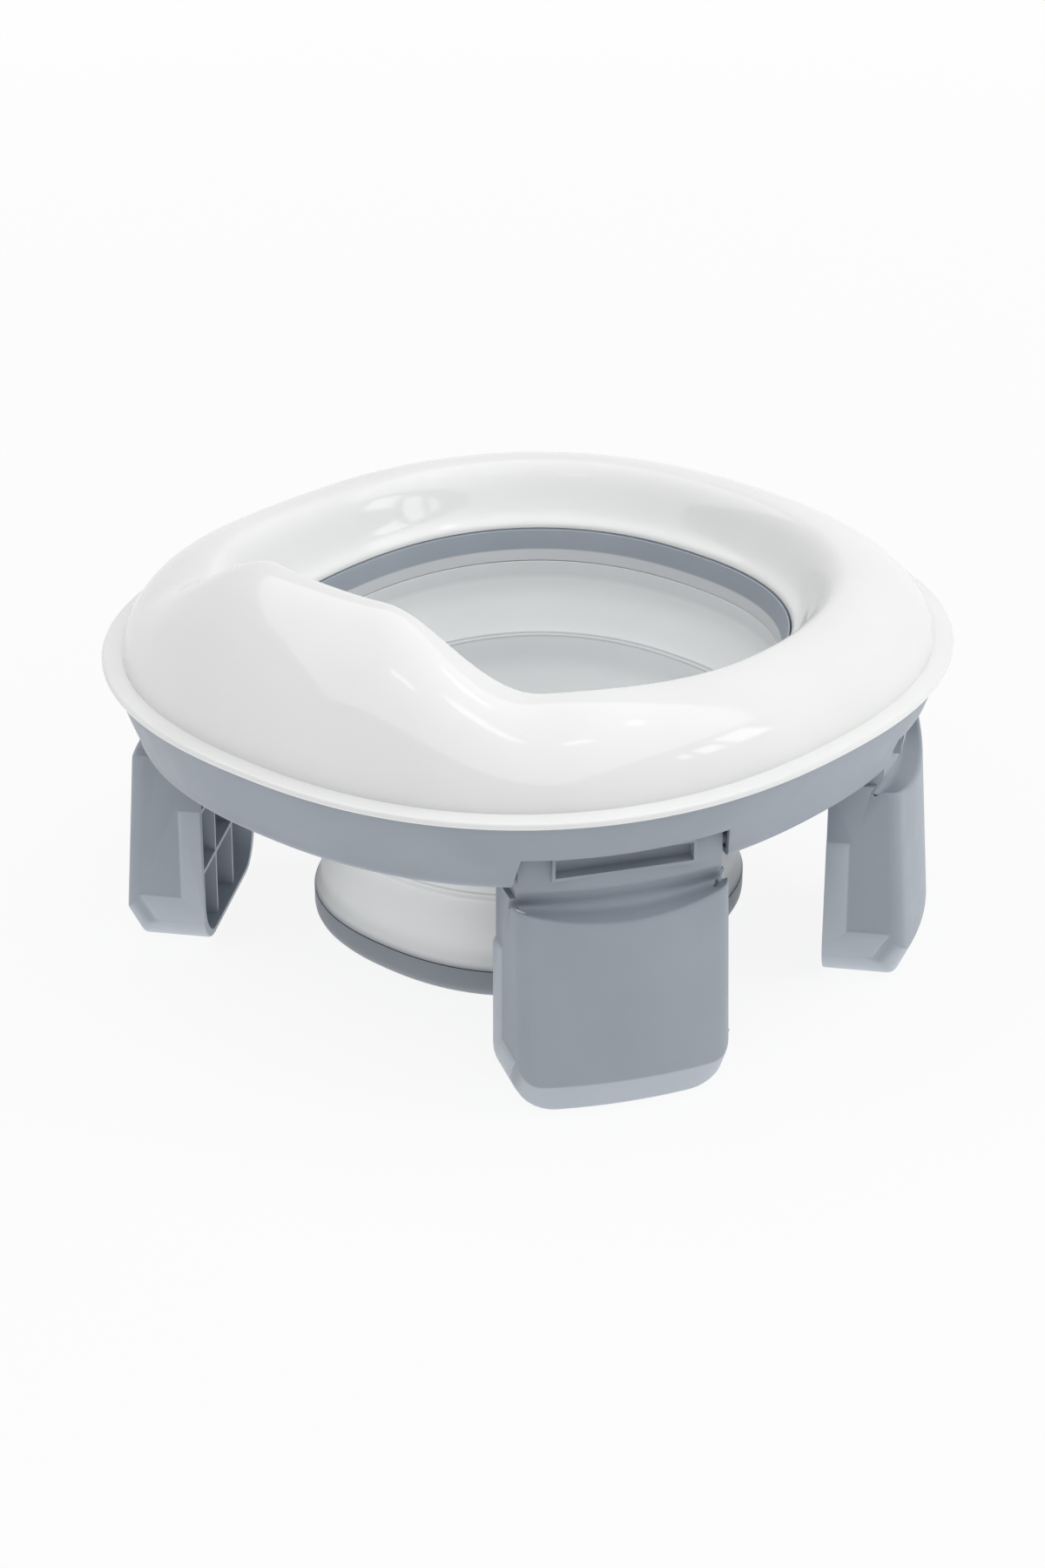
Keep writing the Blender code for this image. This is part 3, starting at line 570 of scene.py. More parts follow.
def envelope_section(_angle):
    """The ring's outside: outer face, floor, ledge for the bowl and inner wall."""
    inner_top = SEAT_EDGE - TOUCH_GAP
    ledge_inset = SEAT_BREADTH + RING_LEDGE_WIDTH
    return ring_outer_face(0, RING_CORNER, RING_BOTTOM, RING_TOP) + [
        (SEAT_BREADTH, RING_BOTTOM),
        (SEAT_BREADTH, LEDGE_TOP - RING_LEDGE),
        (ledge_inset, LEDGE_TOP - RING_LEDGE),
        (ledge_inset, LEDGE_TOP),
        (SEAT_BREADTH, LEDGE_TOP),
        (SEAT_BREADTH, inner_top),
        (SEAT_BREADTH - 2 * RING_WALL, inner_top),
        (RING_TOP_INSET + 2 * RING_WALL, RING_TOP),
    ]


def channel_section(_angle):
    """The open channel between the ring's two walls."""
    top = SEAT_EDGE + RING_WALL
    floor = RING_BOTTOM + RING_WALL
    return ring_outer_face(RING_WALL, RING_CORNER - RING_WALL, floor, top) + [
        (SEAT_BREADTH - RING_WALL, floor),
        (SEAT_BREADTH - RING_WALL, top),
    ]


def leg_frames():
    """Where each leg's hinge sits: a frame with X outward, Y along the pin and Z up."""
    half_x = LIP_HALF_WIDTH - RING_BOTTOM_INSET
    half_y = LIP_HALF_LENGTH - RING_BOTTOM_INSET
    ratio = (math.tan(LEG_NORMAL_ANGLE) * half_x / half_y) ** (1 / (2 - 2 / PLAN_POWER))
    x, y = plan_point(RING_BOTTOM_INSET, math.atan(ratio))
    across, along = math.sin(LEG_NORMAL_ANGLE), math.cos(LEG_NORMAL_ANGLE)
    x += HINGE_SHIFT * along - HINGE_INSET * across
    y += HINGE_SHIFT * across + HINGE_INSET * along
    turn = math.pi / 2 - LEG_NORMAL_ANGLE
    frames = {}
    corners = (("front_right", 1, 1), ("front_left", -1, 1), ("rear_right", 1, -1), ("rear_left", -1, -1))
    for name, side, end in corners:
        heading = math.atan2(-end * math.sin(turn), side * math.cos(turn))
        spot = Matrix.Translation((side * x, end * y, LEG_HEIGHT))
        frames[name] = spot @ Matrix.Rotation(heading, 4, "Z")
    return frames


def leg_notch(spot):
    """The notch in the ring's outer face that takes a leg's hub."""
    low = -HINGE_ABOVE_RING - RING_WALL
    top = NOTCH_HEIGHT - HINGE_ABOVE_RING
    wide, narrow = BAY_HALF_WIDTH, NOTCH_TOP_HALF_WIDTH
    corners = ((-wide, low), (wide, low), (narrow, top), (-narrow, top))
    near = [(-EDGE_ROUND, y, z) for y, z in corners]
    far = [(FAR, y, z) for y, z in corners]
    return moved(prism_mesh("notch", near, far), spot)


def leg_bay(spot):
    """The bay in the ring's floor that a leg passes through."""
    side = BAY_HALF_WIDTH - 2 * TOUCH_GAP
    low = (-RIM_BACK - 2 * TOUCH_GAP, -side, -HINGE_ABOVE_RING - RING_WALL)
    high = (0, side, RING_WALL - HINGE_ABOVE_RING + TOUCH_GAP)
    return moved(box_mesh("bay", low, high), spot)


def hinge_cheeks(spot):
    """The two plates across the channel that hold a leg's pin."""
    cheeks = []
    for near in (CHEEK_HALF_WIDTH, -CHEEK_HALF_WIDTH - CHEEK_WALL):
        low = (-SEAT_BREADTH, near, -HINGE_ABOVE_RING)
        high = (SEAT_BREADTH, near + CHEEK_WALL, CHEEK_RISE)
        cheeks.append(moved(box_mesh("cheek", low, high), spot))
    return cheeks


def screw_boss(spot):
    return moved(turned_mesh("boss", ((BOSS_RADIUS, RING_BOTTOM), (BOSS_RADIUS, BOSS_FACE))), spot)


def screw_hole(spot):
    """A stepped hole that takes one screw from below."""
    shank = SCREW_SHANK + RUNNING_GAP
    head = SCREW_HEAD_RADIUS + RUNNING_GAP
    outline = (
        (head, RING_BOTTOM - RING_WALL),
        (head, SCREW_SEAT),
        (shank, SCREW_SEAT),
        (shank, BOSS_FACE + RING_WALL),
    )
    return moved(turned_mesh("hole", outline), spot)


def base_ring_mesh(legs):
    screws = screw_frames().values()
    reach = CHEEK_HALF_WIDTH + 2 * CHEEK_WALL
    bores = [moved(rod_mesh("bores", PIN_RADIUS + RUNNING_GAP, reach), leg) for leg in legs]
    cheeks = [cheek for leg in legs for cheek in hinge_cheeks(leg)]
    channel = ring_mesh("channel", channel_section, RING_SEGMENTS)
    channel = carve(channel, [screw_boss(spot) for spot in screws] + cheeks)
    mesh = carve(ring_mesh("ring", envelope_section, RING_SEGMENTS), [channel])
    mesh = carve(mesh, [leg_notch(leg) for leg in legs] + [screw_hole(spot) for spot in screws])
    return carve(mesh, [leg_bay(leg) for leg in legs] + bores)


# Legs

def rounded_rise(offset, half_width, radius):
    """How far a round corner lifts an edge at a sideways offset."""
    past = min(max(abs(offset) - (half_width - radius), 0), radius)
    return radius - math.sqrt(radius * radius - past * past)


def leg_outline(share, wall):
    """The groove, shoulder, face and foot of one upright slice as (outward, up), with a wall taken off."""
    bulge = LEG_BULGE * (1 - share * share)
    side = share * LEG_HALF_WIDTH
    panel = LEG_HALF_WIDTH - SIDE_RECESS
    ease = rounded_rise(side, panel, EDGE_ROUND)
    foot = -LEG_HEIGHT + rounded_rise(side, LEG_HALF_WIDTH, FOOT_CORNER)
    toe = -LEG_HEIGHT + TOE_HEIGHT + rounded_rise(side, panel, FACE_CORNER)
    toe = max(toe, foot + TOE_LEAST)
    face_top = -SHOULDER_BELOW - SHOULDER_SAG * bulge
    face = SHOULDER_OUT + bulge - ease
    toe_out = face + (face_top - toe) * math.tan(FACE_LEAN)
    groove = HUB_FRONT + bulge - GROOVE_DEPTH
    saddle = groove + SADDLE_OUT - ease / 2
    saddle_drop = (SADDLE_BELOW - GROOVE_BELOW) * (1 + bulge / LEG_BULGE) / 2
    lower = [
        (groove - wall, -GROOVE_BELOW + wall / 2),
        (saddle - wall, -GROOVE_BELOW - saddle_drop - wall / 2),
        (face - SHOULDER_ROUND - wall, face_top + SHOULDER_ROUND - wall),
        (face - wall, face_top - wall),
        ((face + toe_out) / 2 - wall, (face_top + toe) / 2),
        (toe_out - wall, toe + wall / 2),
        (toe_out - TOE_DEPTH - wall / 2, foot + wall),
    ]
    return bulge, foot, lower


def leg_slice(share):
    """The outside of one slice: hub, groove, shoulder, outer face, foot and the open inner rim."""
    bulge, foot, lower = leg_outline(share, 0)
    front = HUB_FRONT + bulge
    back = RIM_BACK - foot * math.tan(RIM_LEAN)
    corners = [(-HUB_RADIUS * c, HUB_RADIUS * s, 0) for s, c in arc_shares(ROUND_STEPS)]
    corners += [
        (front - SHOULDER_ROUND, HUB_RADIUS, HUB_BEND),
        (front, HUB_RADIUS - SHOULDER_ROUND, HUB_BEND),
        (front, -HUB_SKIRT, SKIRT_BEND),
    ]
    corners += [(*corner, reach) for corner, reach in zip(lower, LOWER_LEG_BENDS)]
    corners += [
        (-back, foot, FOOT_BEND),
        (-RIM_BACK, -HUB_RADIUS, INNER_RIM_BEND),
        (-HUB_RADIUS, RING_WALL - HINGE_ABOVE_RING, INNER_RIM_BEND),
    ]
    return [(w, share * LEG_HALF_WIDTH, z) for w, z in eased(corners)]


def hollow_slice(share):
    """One slice of the leg's hollow, which is open at the inner rim."""
    _bulge, foot, lower = leg_outline(share, LEG_WALL)
    top = -HUB_SKIRT - LEG_WALL
    open_end = -RIM_BACK - LEG_HEIGHT * math.tan(RIM_LEAN) - LEG_WALL
    half = LEG_HALF_WIDTH - SIDE_RECESS - LEG_WALL
    outline = [(open_end, top), (lower[0][0], top)] + lower + [(open_end, foot + LEG_WALL)]
    return [(w, share * half, z) for w, z in outline]


def leg_shares():
    """Where a leg is sliced, from one side to the other, closer together where its corners turn."""
    foot = LEG_HALF_WIDTH - FOOT_CORNER
    edge = LEG_HALF_WIDTH - SIDE_RECESS - EDGE_ROUND
    half = [foot * i / LEG_FACE_SLICES for i in range(LEG_FACE_SLICES)]
    half += [foot + FOOT_CORNER * s for s, _c in arc_shares(LEG_FOOT_SLICES)]
    half += [edge + EDGE_ROUND * s for s, _c in arc_shares(LEG_EDGE_SLICES)]
    shares = []
    for side in sorted(half):
        if not shares or side / LEG_HALF_WIDTH - shares[-1] > LEG_LEAST_STEP:
            shares.append(side / LEG_HALF_WIDTH)
    return [-share for share in shares[:0:-1]] + shares


def sliced_mesh(name, make_slice):
    """Join slices from one side of the leg to the other and close the two ends."""
    slices = [make_slice(share) for share in leg_shares()]
    points = [point for piece in slices for point in piece]
    return mesh_from(name, points, strip_faces(len(slices), len(slices[0])))


def upright_ribs():
    half = RIB_THICKNESS / 2
    inside = LEG_HALF_WIDTH - SIDE_RECESS - LEG_WALL
    ribs = []
    for i in range(1, RIB_COLUMNS):
        y = -inside + 2 * inside * i / RIB_COLUMNS
        low = (-RIM_BACK + RIB_SET_BACK, y - half, -2 * LEG_HEIGHT)
        ribs.append(box_mesh("upright", low, (FAR, y + half, LEG_HEIGHT)))
    return ribs


def level_ribs():
    half = RIB_THICKNESS / 2
    ribs = []
    for i in range(RIB_ROWS):
        z = -LEG_HEIGHT + RIB_LOWEST + RIB_PITCH * i
        ribs.append(box_mesh("level", (-RIM_BACK + RIB_SET_BACK, -FAR, z - half), (FAR, FAR, z + half)))
    return ribs


def panel_corners(y, spread):
    """Outline of a side recess at one depth, widened by a spread."""
    rim = -RIM_BACK - (LEG_HEIGHT - SIDE_PANEL_FOOT) * math.tan(RIM_LEAN)
    band = rim + RIM_BAND + SIDE_FLARE - spread
    step = -RIM_BAND_BELOW - spread
    low = -LEG_HEIGHT + SIDE_PANEL_FOOT + SIDE_FLARE - spread
    outline = ((-FAR, LEG_HEIGHT), (-FAR, step), (band, step), (band, low), (FAR, low), (FAR, LEG_HEIGHT))
    return [(w, y, z) for w, z in outline]


def side_panels():
    """The shallow recess in each side of a leg, which leaves a wider band along the rim and the foot."""
    inner = LEG_HALF_WIDTH - SIDE_RECESS
    outer = LEG_HALF_WIDTH + SIDE_RECESS
    panels = []
    for side in (-1, 1):
        near = panel_corners(side * inner, 0)
        far = panel_corners(side * outer, 2 * SIDE_FLARE)
        panels.append(prism_mesh("panel", near, far))
    return panels


def hub_sides():
    """Blocks that narrow the hub so that it clears the ring's notch."""
    low = -(HUB_SKIRT + GROOVE_BELOW) / 2
    return [
        box_mesh("hub_side", (-FAR, HUB_HALF_WIDTH, low), (FAR, FAR, LEG_HEIGHT)),
        box_mesh("hub_side", (-FAR, -FAR, low), (FAR, -HUB_HALF_WIDTH, LEG_HEIGHT)),
    ]


def pocket_box(edge, back, front):
    """A box over the latch pocket in the hub's front, grown by an edge."""
    low = (back, -POCKET_HALF_WIDTH - edge, -POCKET_BELOW - edge)
    high = (front, POCKET_HALF_WIDTH + edge, POCKET_HEIGHT - POCKET_BELOW + edge)
    return box_mesh("pocket", low, high)


def leg_mesh():
    hollow = sliced_mesh("hollow", hollow_slice)
    hollow = carve(carve(hollow, upright_ribs()), level_ribs())
    boss = rod_mesh("hub_boss", HUB_BOSS_RADIUS, CHEEK_HALF_WIDTH - RUNNING_GAP)
    bore = rod_mesh("bore", PIN_RADIUS + RUNNING_GAP, CHEEK_HALF_WIDTH + CHEEK_WALL)
    mesh = carve(sliced_mesh("leg", leg_slice), side_panels() + hub_sides())
    mesh = carve(mesh, [hollow])
    mesh = carve(mesh, [boss], "UNION")
    mesh = carve(mesh, [pocket_box(POCKET_FRAME, POCKET_FLOOR / 2, POCKET_FRONT)], "UNION")
    return carve(mesh, [pocket_box(0, POCKET_FLOOR, FAR), bore])


# Bowl

def tier_insets():
    """Inset of each wall tier's outer face, from the top one inwards."""
    inset = SEAT_BREADTH + RING_LEDGE_WIDTH + RUNNING_GAP
    step = TIER_WALL + TIER_TAPER + RUNNING_GAP + TIER_FLANGE_WIDTH
    return [inset + step * i for i in range(len(TIER_BODIES))]


def tier_tops():
    """Height of each wall tier's top; every tier hangs by its flange on the ledge above."""
    top = LEDGE_TOP + TOUCH_GAP + TIER_FLANGE
    step = TIER_HEIGHT - TIER_LEDGE - TOUCH_GAP - TIER_FLANGE
    return [top - step * i for i in range(len(TIER_BODIES))]


def flange_insets():
    """Inset of each flange's rim: the top one lies on the ring's ledge, the others on the tier above."""
    lower = [inset - TIER_FLANGE_WIDTH for inset in tier_insets()[1:]]
    return [SEAT_BREADTH + BOWL_GAP] + lower


def bowl_rim_mesh():
    """The collar, which stands on the top tier's flange, leans in to meet its wall and thins upwards."""
    low = tier_tops()[0] + TOUCH_GAP
    top = low + RIM_HEIGHT
    outer = SEAT_BREADTH + BOWL_GAP
    foot = tier_insets()[0] + TIER_WALL
    section = eased([
        (outer, top, COLLAR_BEND),
        (outer, low, COLLAR_BEND),
        (foot, low, COLLAR_BEND),
        (outer + RIM_EDGE, top, COLLAR_BEND),
    ])
    return ring_mesh("bowl_rim", lambda _angle: section, BOWL_SEGMENTS)


def folding_tier_corners(inset, top, flange):
    """A tier with a flange to hang by, a straight top, a tapered foot and a ledge for the next tier."""
    low = top - TIER_HEIGHT
    inner = inset + TIER_WALL
    ledge = inner + TIER_TAPER + TIER_FLANGE_WIDTH
    bend = top - TIER_STRAIGHT
    soft, long = TIER_BEND, TIER_WALL_BEND
    return [
        (flange, top, soft),
        (flange, top - TIER_FLANGE, soft),
        (inset, top - TIER_FLANGE, soft),
        (inset, bend, long),
        (inset + TIER_TAPER, low + TIER_LEDGE, soft),
        (inset + TIER_TAPER, low, soft),
        (ledge, low, soft),
        (ledge, low + TIER_LEDGE, soft),
        (inner + TIER_TAPER, low + TIER_LEDGE, soft),
        (inner, bend, long),
        (inner, top, soft),
    ]


def lowest_tier_corners(inset, top, flange):
    """The last tier: a flange, a straight wall and the flared band where it is moulded to the dish."""
    low = top - TIER_HEIGHT
    inner = inset + TIER_WALL
    band = low + FOLD_BAND
    soft, long = TIER_BEND, TIER_FOOT_BEND
    return [
        (flange, top, soft),
        (flange, top - TIER_FLANGE, soft),
        (inset, top - TIER_FLANGE, soft),
        (inset, band, long),
        (inset - FOLD_FLARE, low, soft),
        (inner - FOLD_FLARE, low, soft),
        (inner, band, long),
        (inner, top, soft),
    ]


def tier_meshes():
    meshes = {}
    for name, inset, top, flange in zip(TIER_BODIES, tier_insets(), tier_tops(), flange_insets()):
        maker = lowest_tier_corners if inset == tier_insets()[-1] else folding_tier_corners
        section = eased(maker(inset, top, flange))
        meshes[name] = ring_mesh(name, lambda _angle: section, BOWL_SEGMENTS)
    return meshes


def bowl_dish_mesh():
    outer = tier_insets()[-1] - FOLD_FLARE
    top = tier_tops()[-1] - TIER_HEIGHT - TOUCH_GAP
    low = top - DISH_HEIGHT
    upstand = outer + TIER_WALL + FOLD_FLARE + RUNNING_GAP
    inner = upstand + DISH_UPSTAND_WALL
    floor = low + DISH_FLOOR
    corner = [
        (outer + DISH_CORNER * (1 - c), low + DISH_CORNER * (1 - s))
        for s, c in arc_shares(ROUND_STEPS)
    ]
    middle = LIP_HALF_WIDTH / 2 + DISH_CORNER
    outline = [(middle, low)] + corner[::-1] + [
        (outer, top),
        (upstand, top),
        (upstand, top + DISH_UPSTAND),
        (inner, top + DISH_UPSTAND),
        (inner, floor + DISH_FLOOR),
        (inner + DISH_FLOOR, floor),
        (middle + DISH_FLOOR, floor),
    ]
    return dish_mesh("bowl_dish", outline, BOWL_SEGMENTS)


# Materials

def linear(channel):
    """A display level from 0 to 255 as a share of light, by the standard display curve."""
    share = channel / 255
    return share / 12.92 if share <= 0.04045 else ((share + 0.055) / 1.055) ** 2.4


def colour_of(rgb):
    return (*(linear(channel) for channel in rgb), 1)


class Plastic:
    """A node material that takes its colour, roughness and grain from noise in the part's own frame."""

    def __init__(self, name):
        self.made = bpy.data.materials.new(name)
        self.made.use_nodes = True
        self.nodes = self.made.node_tree.nodes
        self.links = self.made.node_tree.links
        self.shader = self.nodes["Principled BSDF"]
        self.coords = self.nodes.new("ShaderNodeTexCoord")

    def noise(self, scale, detail=3.0, stretch=(1, 1, 1)):
        spread = self.nodes.new("ShaderNodeMapping")
        spread.inputs["Scale"].default_value = stretch
        self.links.new(self.coords.outputs["Object"], spread.inputs["Vector"])
        noise = self.nodes.new("ShaderNodeTexNoise")
        noise.inputs["Scale"].default_value = scale
        noise.inputs["Detail"].default_value = detail
        self.links.new(spread.outputs["Vector"], noise.inputs["Vector"])
        return noise.outputs["Fac"]

    def tint(self, dark, light, scale):
        ramp = self.nodes.new("ShaderNodeValToRGB")
        ramp.color_ramp.elements[0].position = NOISE_LOW
        ramp.color_ramp.elements[1].position = NOISE_HIGH
        ramp.color_ramp.elements[0].color = colour_of(dark)
        ramp.color_ramp.elements[1].color = colour_of(light)
        self.links.new(self.noise(scale), ramp.inputs["Fac"])
        return ramp.outputs["Color"]

    def colour(self, dark, light, scale):
        self.paint(self.tint(dark, light, scale))

    def part_of(self, coordinate, axis):
        """One part of a coordinate in the piece's own frame."""
        parts = self.nodes.new("ShaderNodeSeparateXYZ")
        self.links.new(self.coords.outputs[coordinate], parts.inputs["Vector"])
        return parts.outputs[axis]

    def ramp(self, value, start, end, most=1.0):
        """A share that goes from nothing to the most as a value goes from a start to an end."""
        span = self.nodes.new("ShaderNodeMapRange")
        span.inputs["From Min"].default_value = start
        span.inputs["From Max"].default_value = end
        span.inputs["To Max"].default_value = most
        self.links.new(value, span.inputs["Value"])
        return span.outputs["Result"]

    def math(self, operation, *values):
        step = self.nodes.new("ShaderNodeMath")
        step.operation = operation
        for socket, value in zip(step.inputs, values):
            self.links.new(value, socket)
        return step.outputs["Value"]

    def mixed(self, share, first, second):
        mix = self.nodes.new("ShaderNodeMixRGB")
        self.links.new(share, mix.inputs["Fac"])
        self.links.new(first, mix.inputs["Color1"])
        self.links.new(second, mix.inputs["Color2"])
        return mix.outputs["Color"]

    def paint(self, tint):
        self.links.new(tint, self.shader.inputs["Base Color"])

    def roughness(self, low, high, scale, stretch=(1, 1, 1)):
        spread = self.nodes.new("ShaderNodeMapRange")
        spread.inputs["From Min"].default_value = NOISE_LOW
        spread.inputs["From Max"].default_value = NOISE_HIGH
        spread.inputs["To Min"].default_value = low
        spread.inputs["To Max"].default_value = high
        self.links.new(self.noise(scale, detail=4.0, stretch=stretch), spread.inputs["Value"])
        self.links.new(spread.outputs["Result"], self.shader.inputs["Roughness"])

    def grain(self, scale, depth, strength, stretch=(1, 1, 1)):
        bump = self.nodes.new("ShaderNodeBump")
        bump.inputs["Strength"].default_value = strength
        bump.inputs["Distance"].default_value = depth
        self.links.new(self.noise(scale, detail=2.0, stretch=stretch), bump.inputs["Height"])
        self.links.new(bump.outputs["Normal"], self.shader.inputs["Normal"])

    def satin(self):
        """The fine moulded finish that the grey pieces share."""
        self.roughness(low=0.40, high=0.52, scale=90)
        self.grain(scale=2600, depth=0.02 * MM, strength=0.35)

    def set(self, socket, value):
        self.shader.inputs[socket].default_value = value


def gloss_white():
    plastic = Plastic("gloss_white_plastic")
    plastic.colour(*SEAT_WHITE, scale=18)
    plastic.roughness(low=0.05, high=0.10, scale=45)
    plastic.grain(scale=70, depth=0.05 * MM, strength=0.12)
    return plastic.made


def satin_grey(name, dark, light):
    plastic = Plastic(name)
    plastic.colour(dark, light, scale=30)
    plastic.satin()
    return plastic.made


def leg_grey():
    """The ring's grey, made lighter by painted light from the floor on a leg's chamfered foot and on its
    rim's band.
    """
    plastic = Plastic("leg_grey_plastic")
    panel = LEG_HALF_WIDTH - SIDE_RECESS
    sideways = plastic.math("ABSOLUTE", plastic.part_of("Object", "Y"))
    band = plastic.ramp(sideways, panel + SIDE_RECESS / 4, panel + SIDE_RECESS / 2)
    facing_down = plastic.ramp(plastic.part_of("Normal", "Z"), *BOUNCE_LIT_FACING)
    near_foot = plastic.ramp(plastic.part_of("Object", "Z"), *BOUNCE_LIT_HEIGHTS)
    # Painted light: the rim's band and the low faces that look down take the lighter grey, as if lit from
    # the floor
    painted_bounce = plastic.math("MAXIMUM", band, plastic.math("MULTIPLY", facing_down, near_foot))
    plain_tint = plastic.tint(*RING_GREY, scale=30)
    bounce_lit_tint = plastic.tint(*BOUNCE_LIT_GREY, scale=30)
    plastic.paint(plastic.mixed(painted_bounce, plain_tint, bounce_lit_tint))
    plastic.satin()
    return plastic.made


def collar_grey():
    """The ring's grey, down to where the white wall laps over the collar's foot, which is painted in a
    white darkened by painted shade.
    """
    plastic = Plastic("collar_grey_plastic")
    lap_top = tier_tops()[0] + TOUCH_GAP + RIM_LAP
    lap = plastic.ramp(plastic.part_of("Object", "Z"), lap_top, lap_top - RIM_LAP_FADE)
    # Painted shade: the lap takes the white with shade painted into it, not the wall's plain white
    grey, white = plastic.tint(*RING_GREY, scale=30), plastic.tint(*SHADED_WHITE, scale=22)
    plastic.paint(plastic.mixed(lap, grey, white))
    plastic.satin()
    return plastic.made


def painted_fold_shade(plastic, height):
    """How much painted shade the wall takes at a height: partly under the collar, fully on a lower tier's
    top edge.
    """
    upper = tier_tops()[0] - UPPER_FOLD
    share = plastic.ramp(height, upper - UPPER_FOLD_FADE, upper + UPPER_FOLD_FADE, UPPER_FOLD_SHADE)
    for top in tier_tops()[1:]:
        above = plastic.ramp(height, top - 3 * FOLD_EDGE, top - FOLD_EDGE)
        below = plastic.ramp(height, top + FOLD_EDGE, top)
        share = plastic.math("MAXIMUM", share, plastic.math("MULTIPLY", above, below))
    return share


def soft_white():
    """Rubber with painted shade on its fold edges and under the collar, which turns grey at the foot of the
    wall, over the dish.
    """
    plastic = Plastic("soft_white_rubber")
    height = plastic.part_of("Object", "Z")
    foot = tier_tops()[-1] - TIER_HEIGHT
    fade = plastic.ramp(height, foot + FOLD_BAND / 2, foot)
    white, fold_shade_tint = plastic.tint(*SOFT_WHITE, scale=22), plastic.tint(*SHADED_WHITE, scale=22)
    # Painted shade: the fold edges and the band under the collar take the darker white
    fold_shaded = plastic.mixed(painted_fold_shade(plastic, height), white, fold_shade_tint)
    grey = plastic.tint(*DISH_GREY, scale=22)
    plastic.paint(plastic.mixed(plastic.math("MULTIPLY", fade, fade), fold_shaded, grey))
    plastic.roughness(low=0.46, high=0.58, scale=60)
    plastic.grain(scale=1400, depth=0.02 * MM, strength=0.25)
    return plastic.made


def drawn_steel():
    plastic = Plastic("drawn_steel")
    plastic.colour(*STEEL_GREY, scale=300)
    plastic.roughness(low=0.24, high=0.38, scale=500, stretch=DRAWN_STRETCH)
    plastic.grain(scale=1200, depth=0.01 * MM, strength=0.3, stretch=DRAWN_STRETCH)
    plastic.set("Metallic", 1.0)
    return plastic.made


# Studio

def seen_or_unseen(tree, seen, unseen):
    """Show one shader to rays from the camera, also by way of gloss or glass, and another to the rest."""
    nodes, links = tree.nodes, tree.links
    path = nodes.new("ShaderNodeLightPath")
    direct = nodes.new("ShaderNodeMath")
    direct.operation = "MAXIMUM"
    links.new(path.outputs["Is Camera Ray"], direct.inputs[0])
    links.new(path.outputs["Is Glossy Ray"], direct.inputs[1])
    through = nodes.new("ShaderNodeMath")
    through.operation = "MAXIMUM"
    links.new(direct.outputs["Value"], through.inputs[0])
    links.new(path.outputs["Is Transmission Ray"], through.inputs[1])
    mix = nodes.new("ShaderNodeMixShader")
    links.new(through.outputs["Value"], mix.inputs["Fac"])
    links.new(unseen.outputs[0], mix.inputs[1])
    links.new(seen.outputs[0], mix.inputs[2])
    return mix


def light_source(tree, kind, strength):
    source = tree.nodes.new(kind)
    source.inputs["Color"].default_value = (1, 1, 1, 1)
    source.inputs["Strength"].default_value = strength
    return source


def paper_shade(tree):
    """Paper that takes a soft shadow round the object and fades to plain white away from it."""
    paper = tree.nodes.new("ShaderNodeBsdfDiffuse")
    paper.inputs["Color"].default_value = PAPER_TINT
    spot = tree.nodes.new("ShaderNodeTexCoord")
    distance = tree.nodes.new("ShaderNodeVectorMath")
    distance.operation = "LENGTH"
    tree.links.new(spot.outputs["Object"], distance.inputs[0])
    fade = tree.nodes.new("ShaderNodeMapRange")
    fade.inputs["From Min"].default_value = PAPER_FADE_START
    fade.inputs["From Max"].default_value = PAPER_FADE_END
    fade.inputs["To Min"].default_value = PAPER_WHITE_SHARE
    tree.links.new(distance.outputs["Value"], fade.inputs["Value"])
    white = light_source(tree, "ShaderNodeEmission", PLAIN_WHITE)
    shaded = tree.nodes.new("ShaderNodeMixShader")
    tree.links.new(fade.outputs["Result"], shaded.inputs["Fac"])
    tree.links.new(paper.outputs["BSDF"], shaded.inputs[1])
    tree.links.new(white.outputs["Emission"], shaded.inputs[2])
    return shaded


def white_paper():
    """The floor's material, which also throws light back up."""
    paper = bpy.data.materials.new("white_paper")
    paper.use_nodes = True
    tree = paper.node_tree
    tree.nodes.clear()
    mix = seen_or_unseen(tree, paper_shade(tree), light_source(tree, "ShaderNodeEmission", FLOOR_BOUNCE))
    out = tree.nodes.new("ShaderNodeOutputMaterial")
    tree.links.new(mix.outputs["Shader"], out.inputs["Surface"])
    return paper


def add_floor():
    sides = ((-1, -1), (1, -1), (1, 1), (-1, 1))
    mesh = mesh_from("floor", [(x * FLOOR_HALF, y * FLOOR_HALF, 0) for x, y in sides], [(0, 1, 2, 3)])
    mesh.materials.append(white_paper())
    floor = place("floor", mesh)


def add_world():
    world = bpy.data.worlds.new("studio")
    world.use_nodes = True
    tree = world.node_tree
    tree.nodes.clear()
    seen = light_source(tree, "ShaderNodeBackground", PLAIN_WHITE)
    mix = seen_or_unseen(tree, seen, light_source(tree, "ShaderNodeBackground", ROOM_LIGHT))
    out = tree.nodes.new("ShaderNodeOutputWorld")
    tree.links.new(mix.outputs["Shader"], out.inputs["Surface"])
    bpy.context.scene.world = world


def add_light(name, azimuth, rise, distance, size, glow):
    """A soft box of a given glow, at an azimuth from the front towards the right, that faces the seat."""
    turn, lift = math.radians(azimuth), math.radians(rise)
    towards = Vector((math.sin(turn) * math.cos(lift), -math.cos(turn) * math.cos(lift), math.sin(lift)))
    data = bpy.data.lights.new(name, "AREA")
    data.shape = "RECTANGLE"
    data.size, data.size_y = size
    data.energy = glow * math.pi * size[0] * size[1]
    light = place(name, data)
    light.location = Vector((0, 0, LEG_HEIGHT)) + towards * distance
    light.rotation_euler = towards.to_track_quat("Z", "Y").to_euler()
    light.visible_glossy = name not in UNMIRRORED_BOXES


def add_lights():
    for name, azimuth, rise, distance, size, glow in SOFT_BOXES:
        add_light(name, azimuth, rise, distance, size, glow)


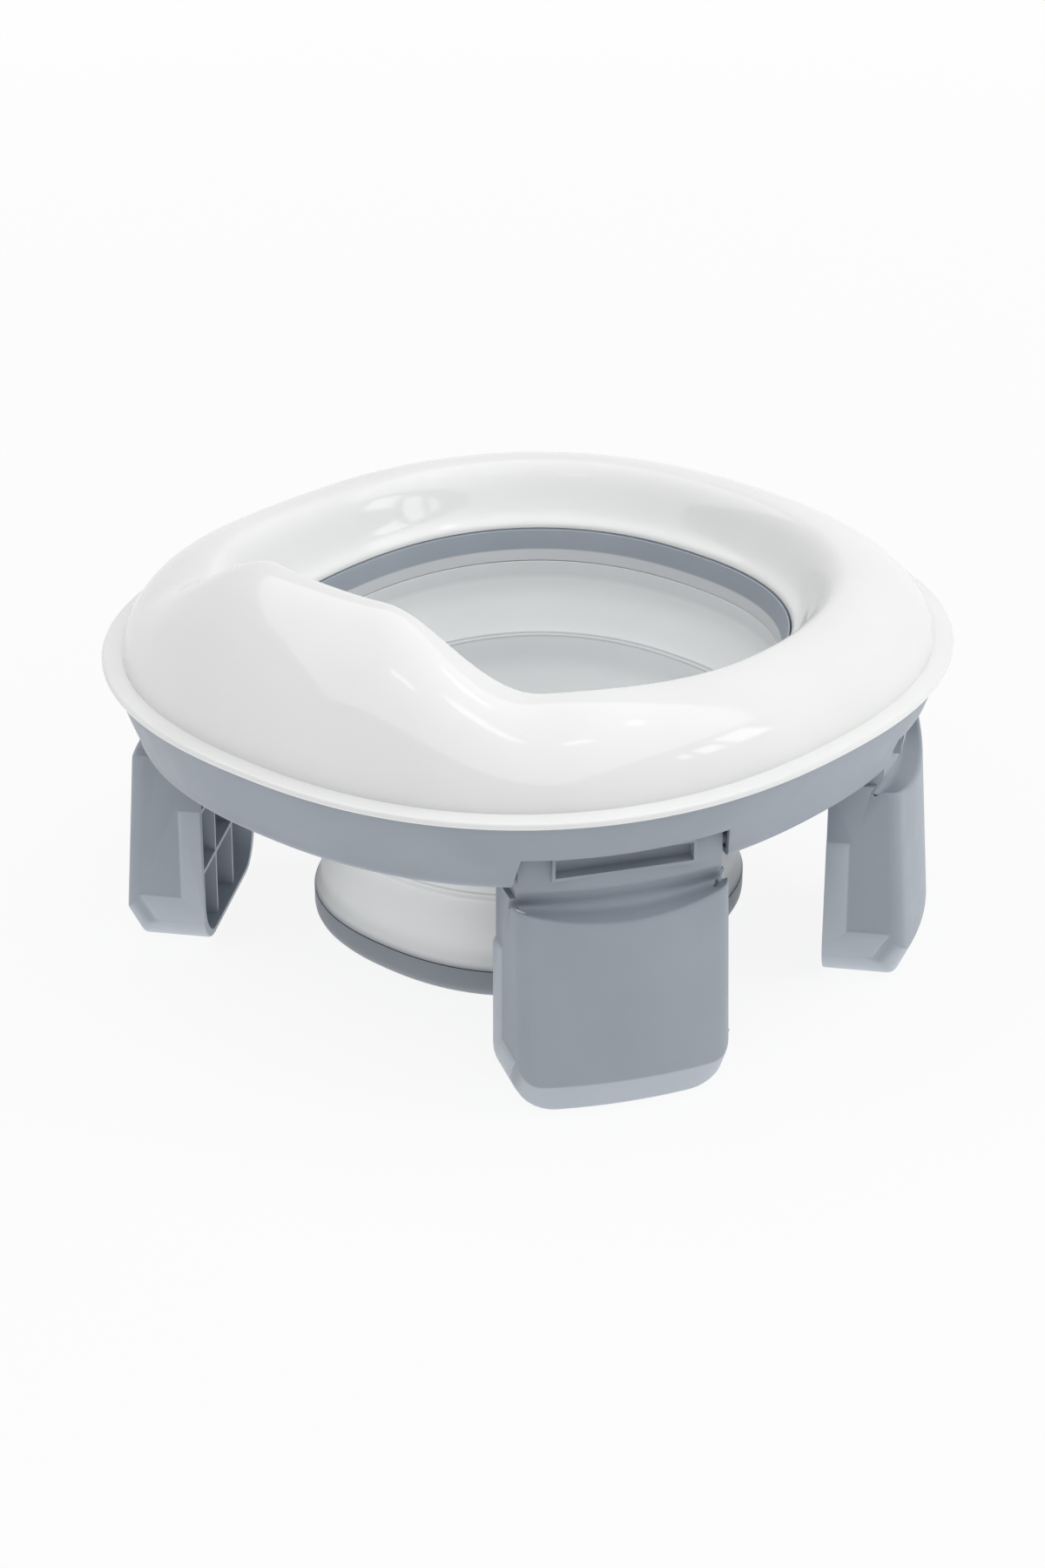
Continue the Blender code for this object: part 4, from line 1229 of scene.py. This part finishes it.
def add_camera():
    turn, rise = CAMERA_TURN, CAMERA_RISE
    back = Vector((math.sin(turn) * math.cos(rise), -math.cos(turn) * math.cos(rise), math.sin(rise)))
    right = Vector((math.cos(turn), math.sin(turn), 0))
    up = back.cross(right)
    spot = right * CAMERA_ASIDE + Vector((0, 0, CAMERA_AIM_HEIGHT)) + back * CAMERA_DISTANCE
    data = bpy.data.cameras.new("camera")
    data.sensor_width = CAMERA_SENSOR
    data.lens = CAMERA_LENS
    camera = place("camera", data)
    camera.matrix_world = Matrix((right, up, back)).transposed().to_4x4()
    camera.location = spot
    bpy.context.scene.camera = camera


# Assembly

def dress(name, mesh, material, body, node, spot=None):
    """Put a skin in place of a solid, on that solid's body."""
    mesh.materials.clear()
    mesh.materials.append(material)
    mesh.shade_smooth()
    mesh.set_sharp_from_angle(angle=SHARP_ANGLE)
    skin = place(name, mesh)
    if spot is not None:
        skin.matrix_world = spot
    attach(skin, body)
    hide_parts(node)


def dress_all():
    white, soft, steel = gloss_white(), soft_white(), drawn_steel()
    grey, moulded = satin_grey("ring_grey_plastic", *RING_GREY), leg_grey()
    deep = satin_grey("dish_grey_plastic", *DISH_GREY)
    legs = leg_frames()
    dress("seat_skin", seat_mesh(), white, "frame", "seat_ring")
    ring = softened(base_ring_mesh(list(legs.values())))
    dress("base_ring_skin", ring, grey, "frame", "base_ring")
    leg = softened(leg_mesh())
    for name, spot in legs.items():
        dress(f"leg_{name}_skin", leg, moulded, "leg_" + name, "leg_" + name, spot)
    dress("bowl_rim_skin", bowl_rim_mesh(), collar_grey(), "bowl", "bowl_rim")
    for name, mesh in tier_meshes().items():
        dress(name + "_skin", mesh, soft, TIER_BODIES[name], name)
    dress("bowl_dish_skin", bowl_dish_mesh(), deep, "bowl_bottom", "bowl_dish")
    for name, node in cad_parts.items():
        if name.startswith(("hinge_pin_", "seat_screw_")):
            node.data.materials.clear()
            node.data.materials.append(steel)


bpy.context.scene.view_settings.view_transform = "Standard"
dress_all()
add_floor()
add_world()
add_lights()
add_camera()
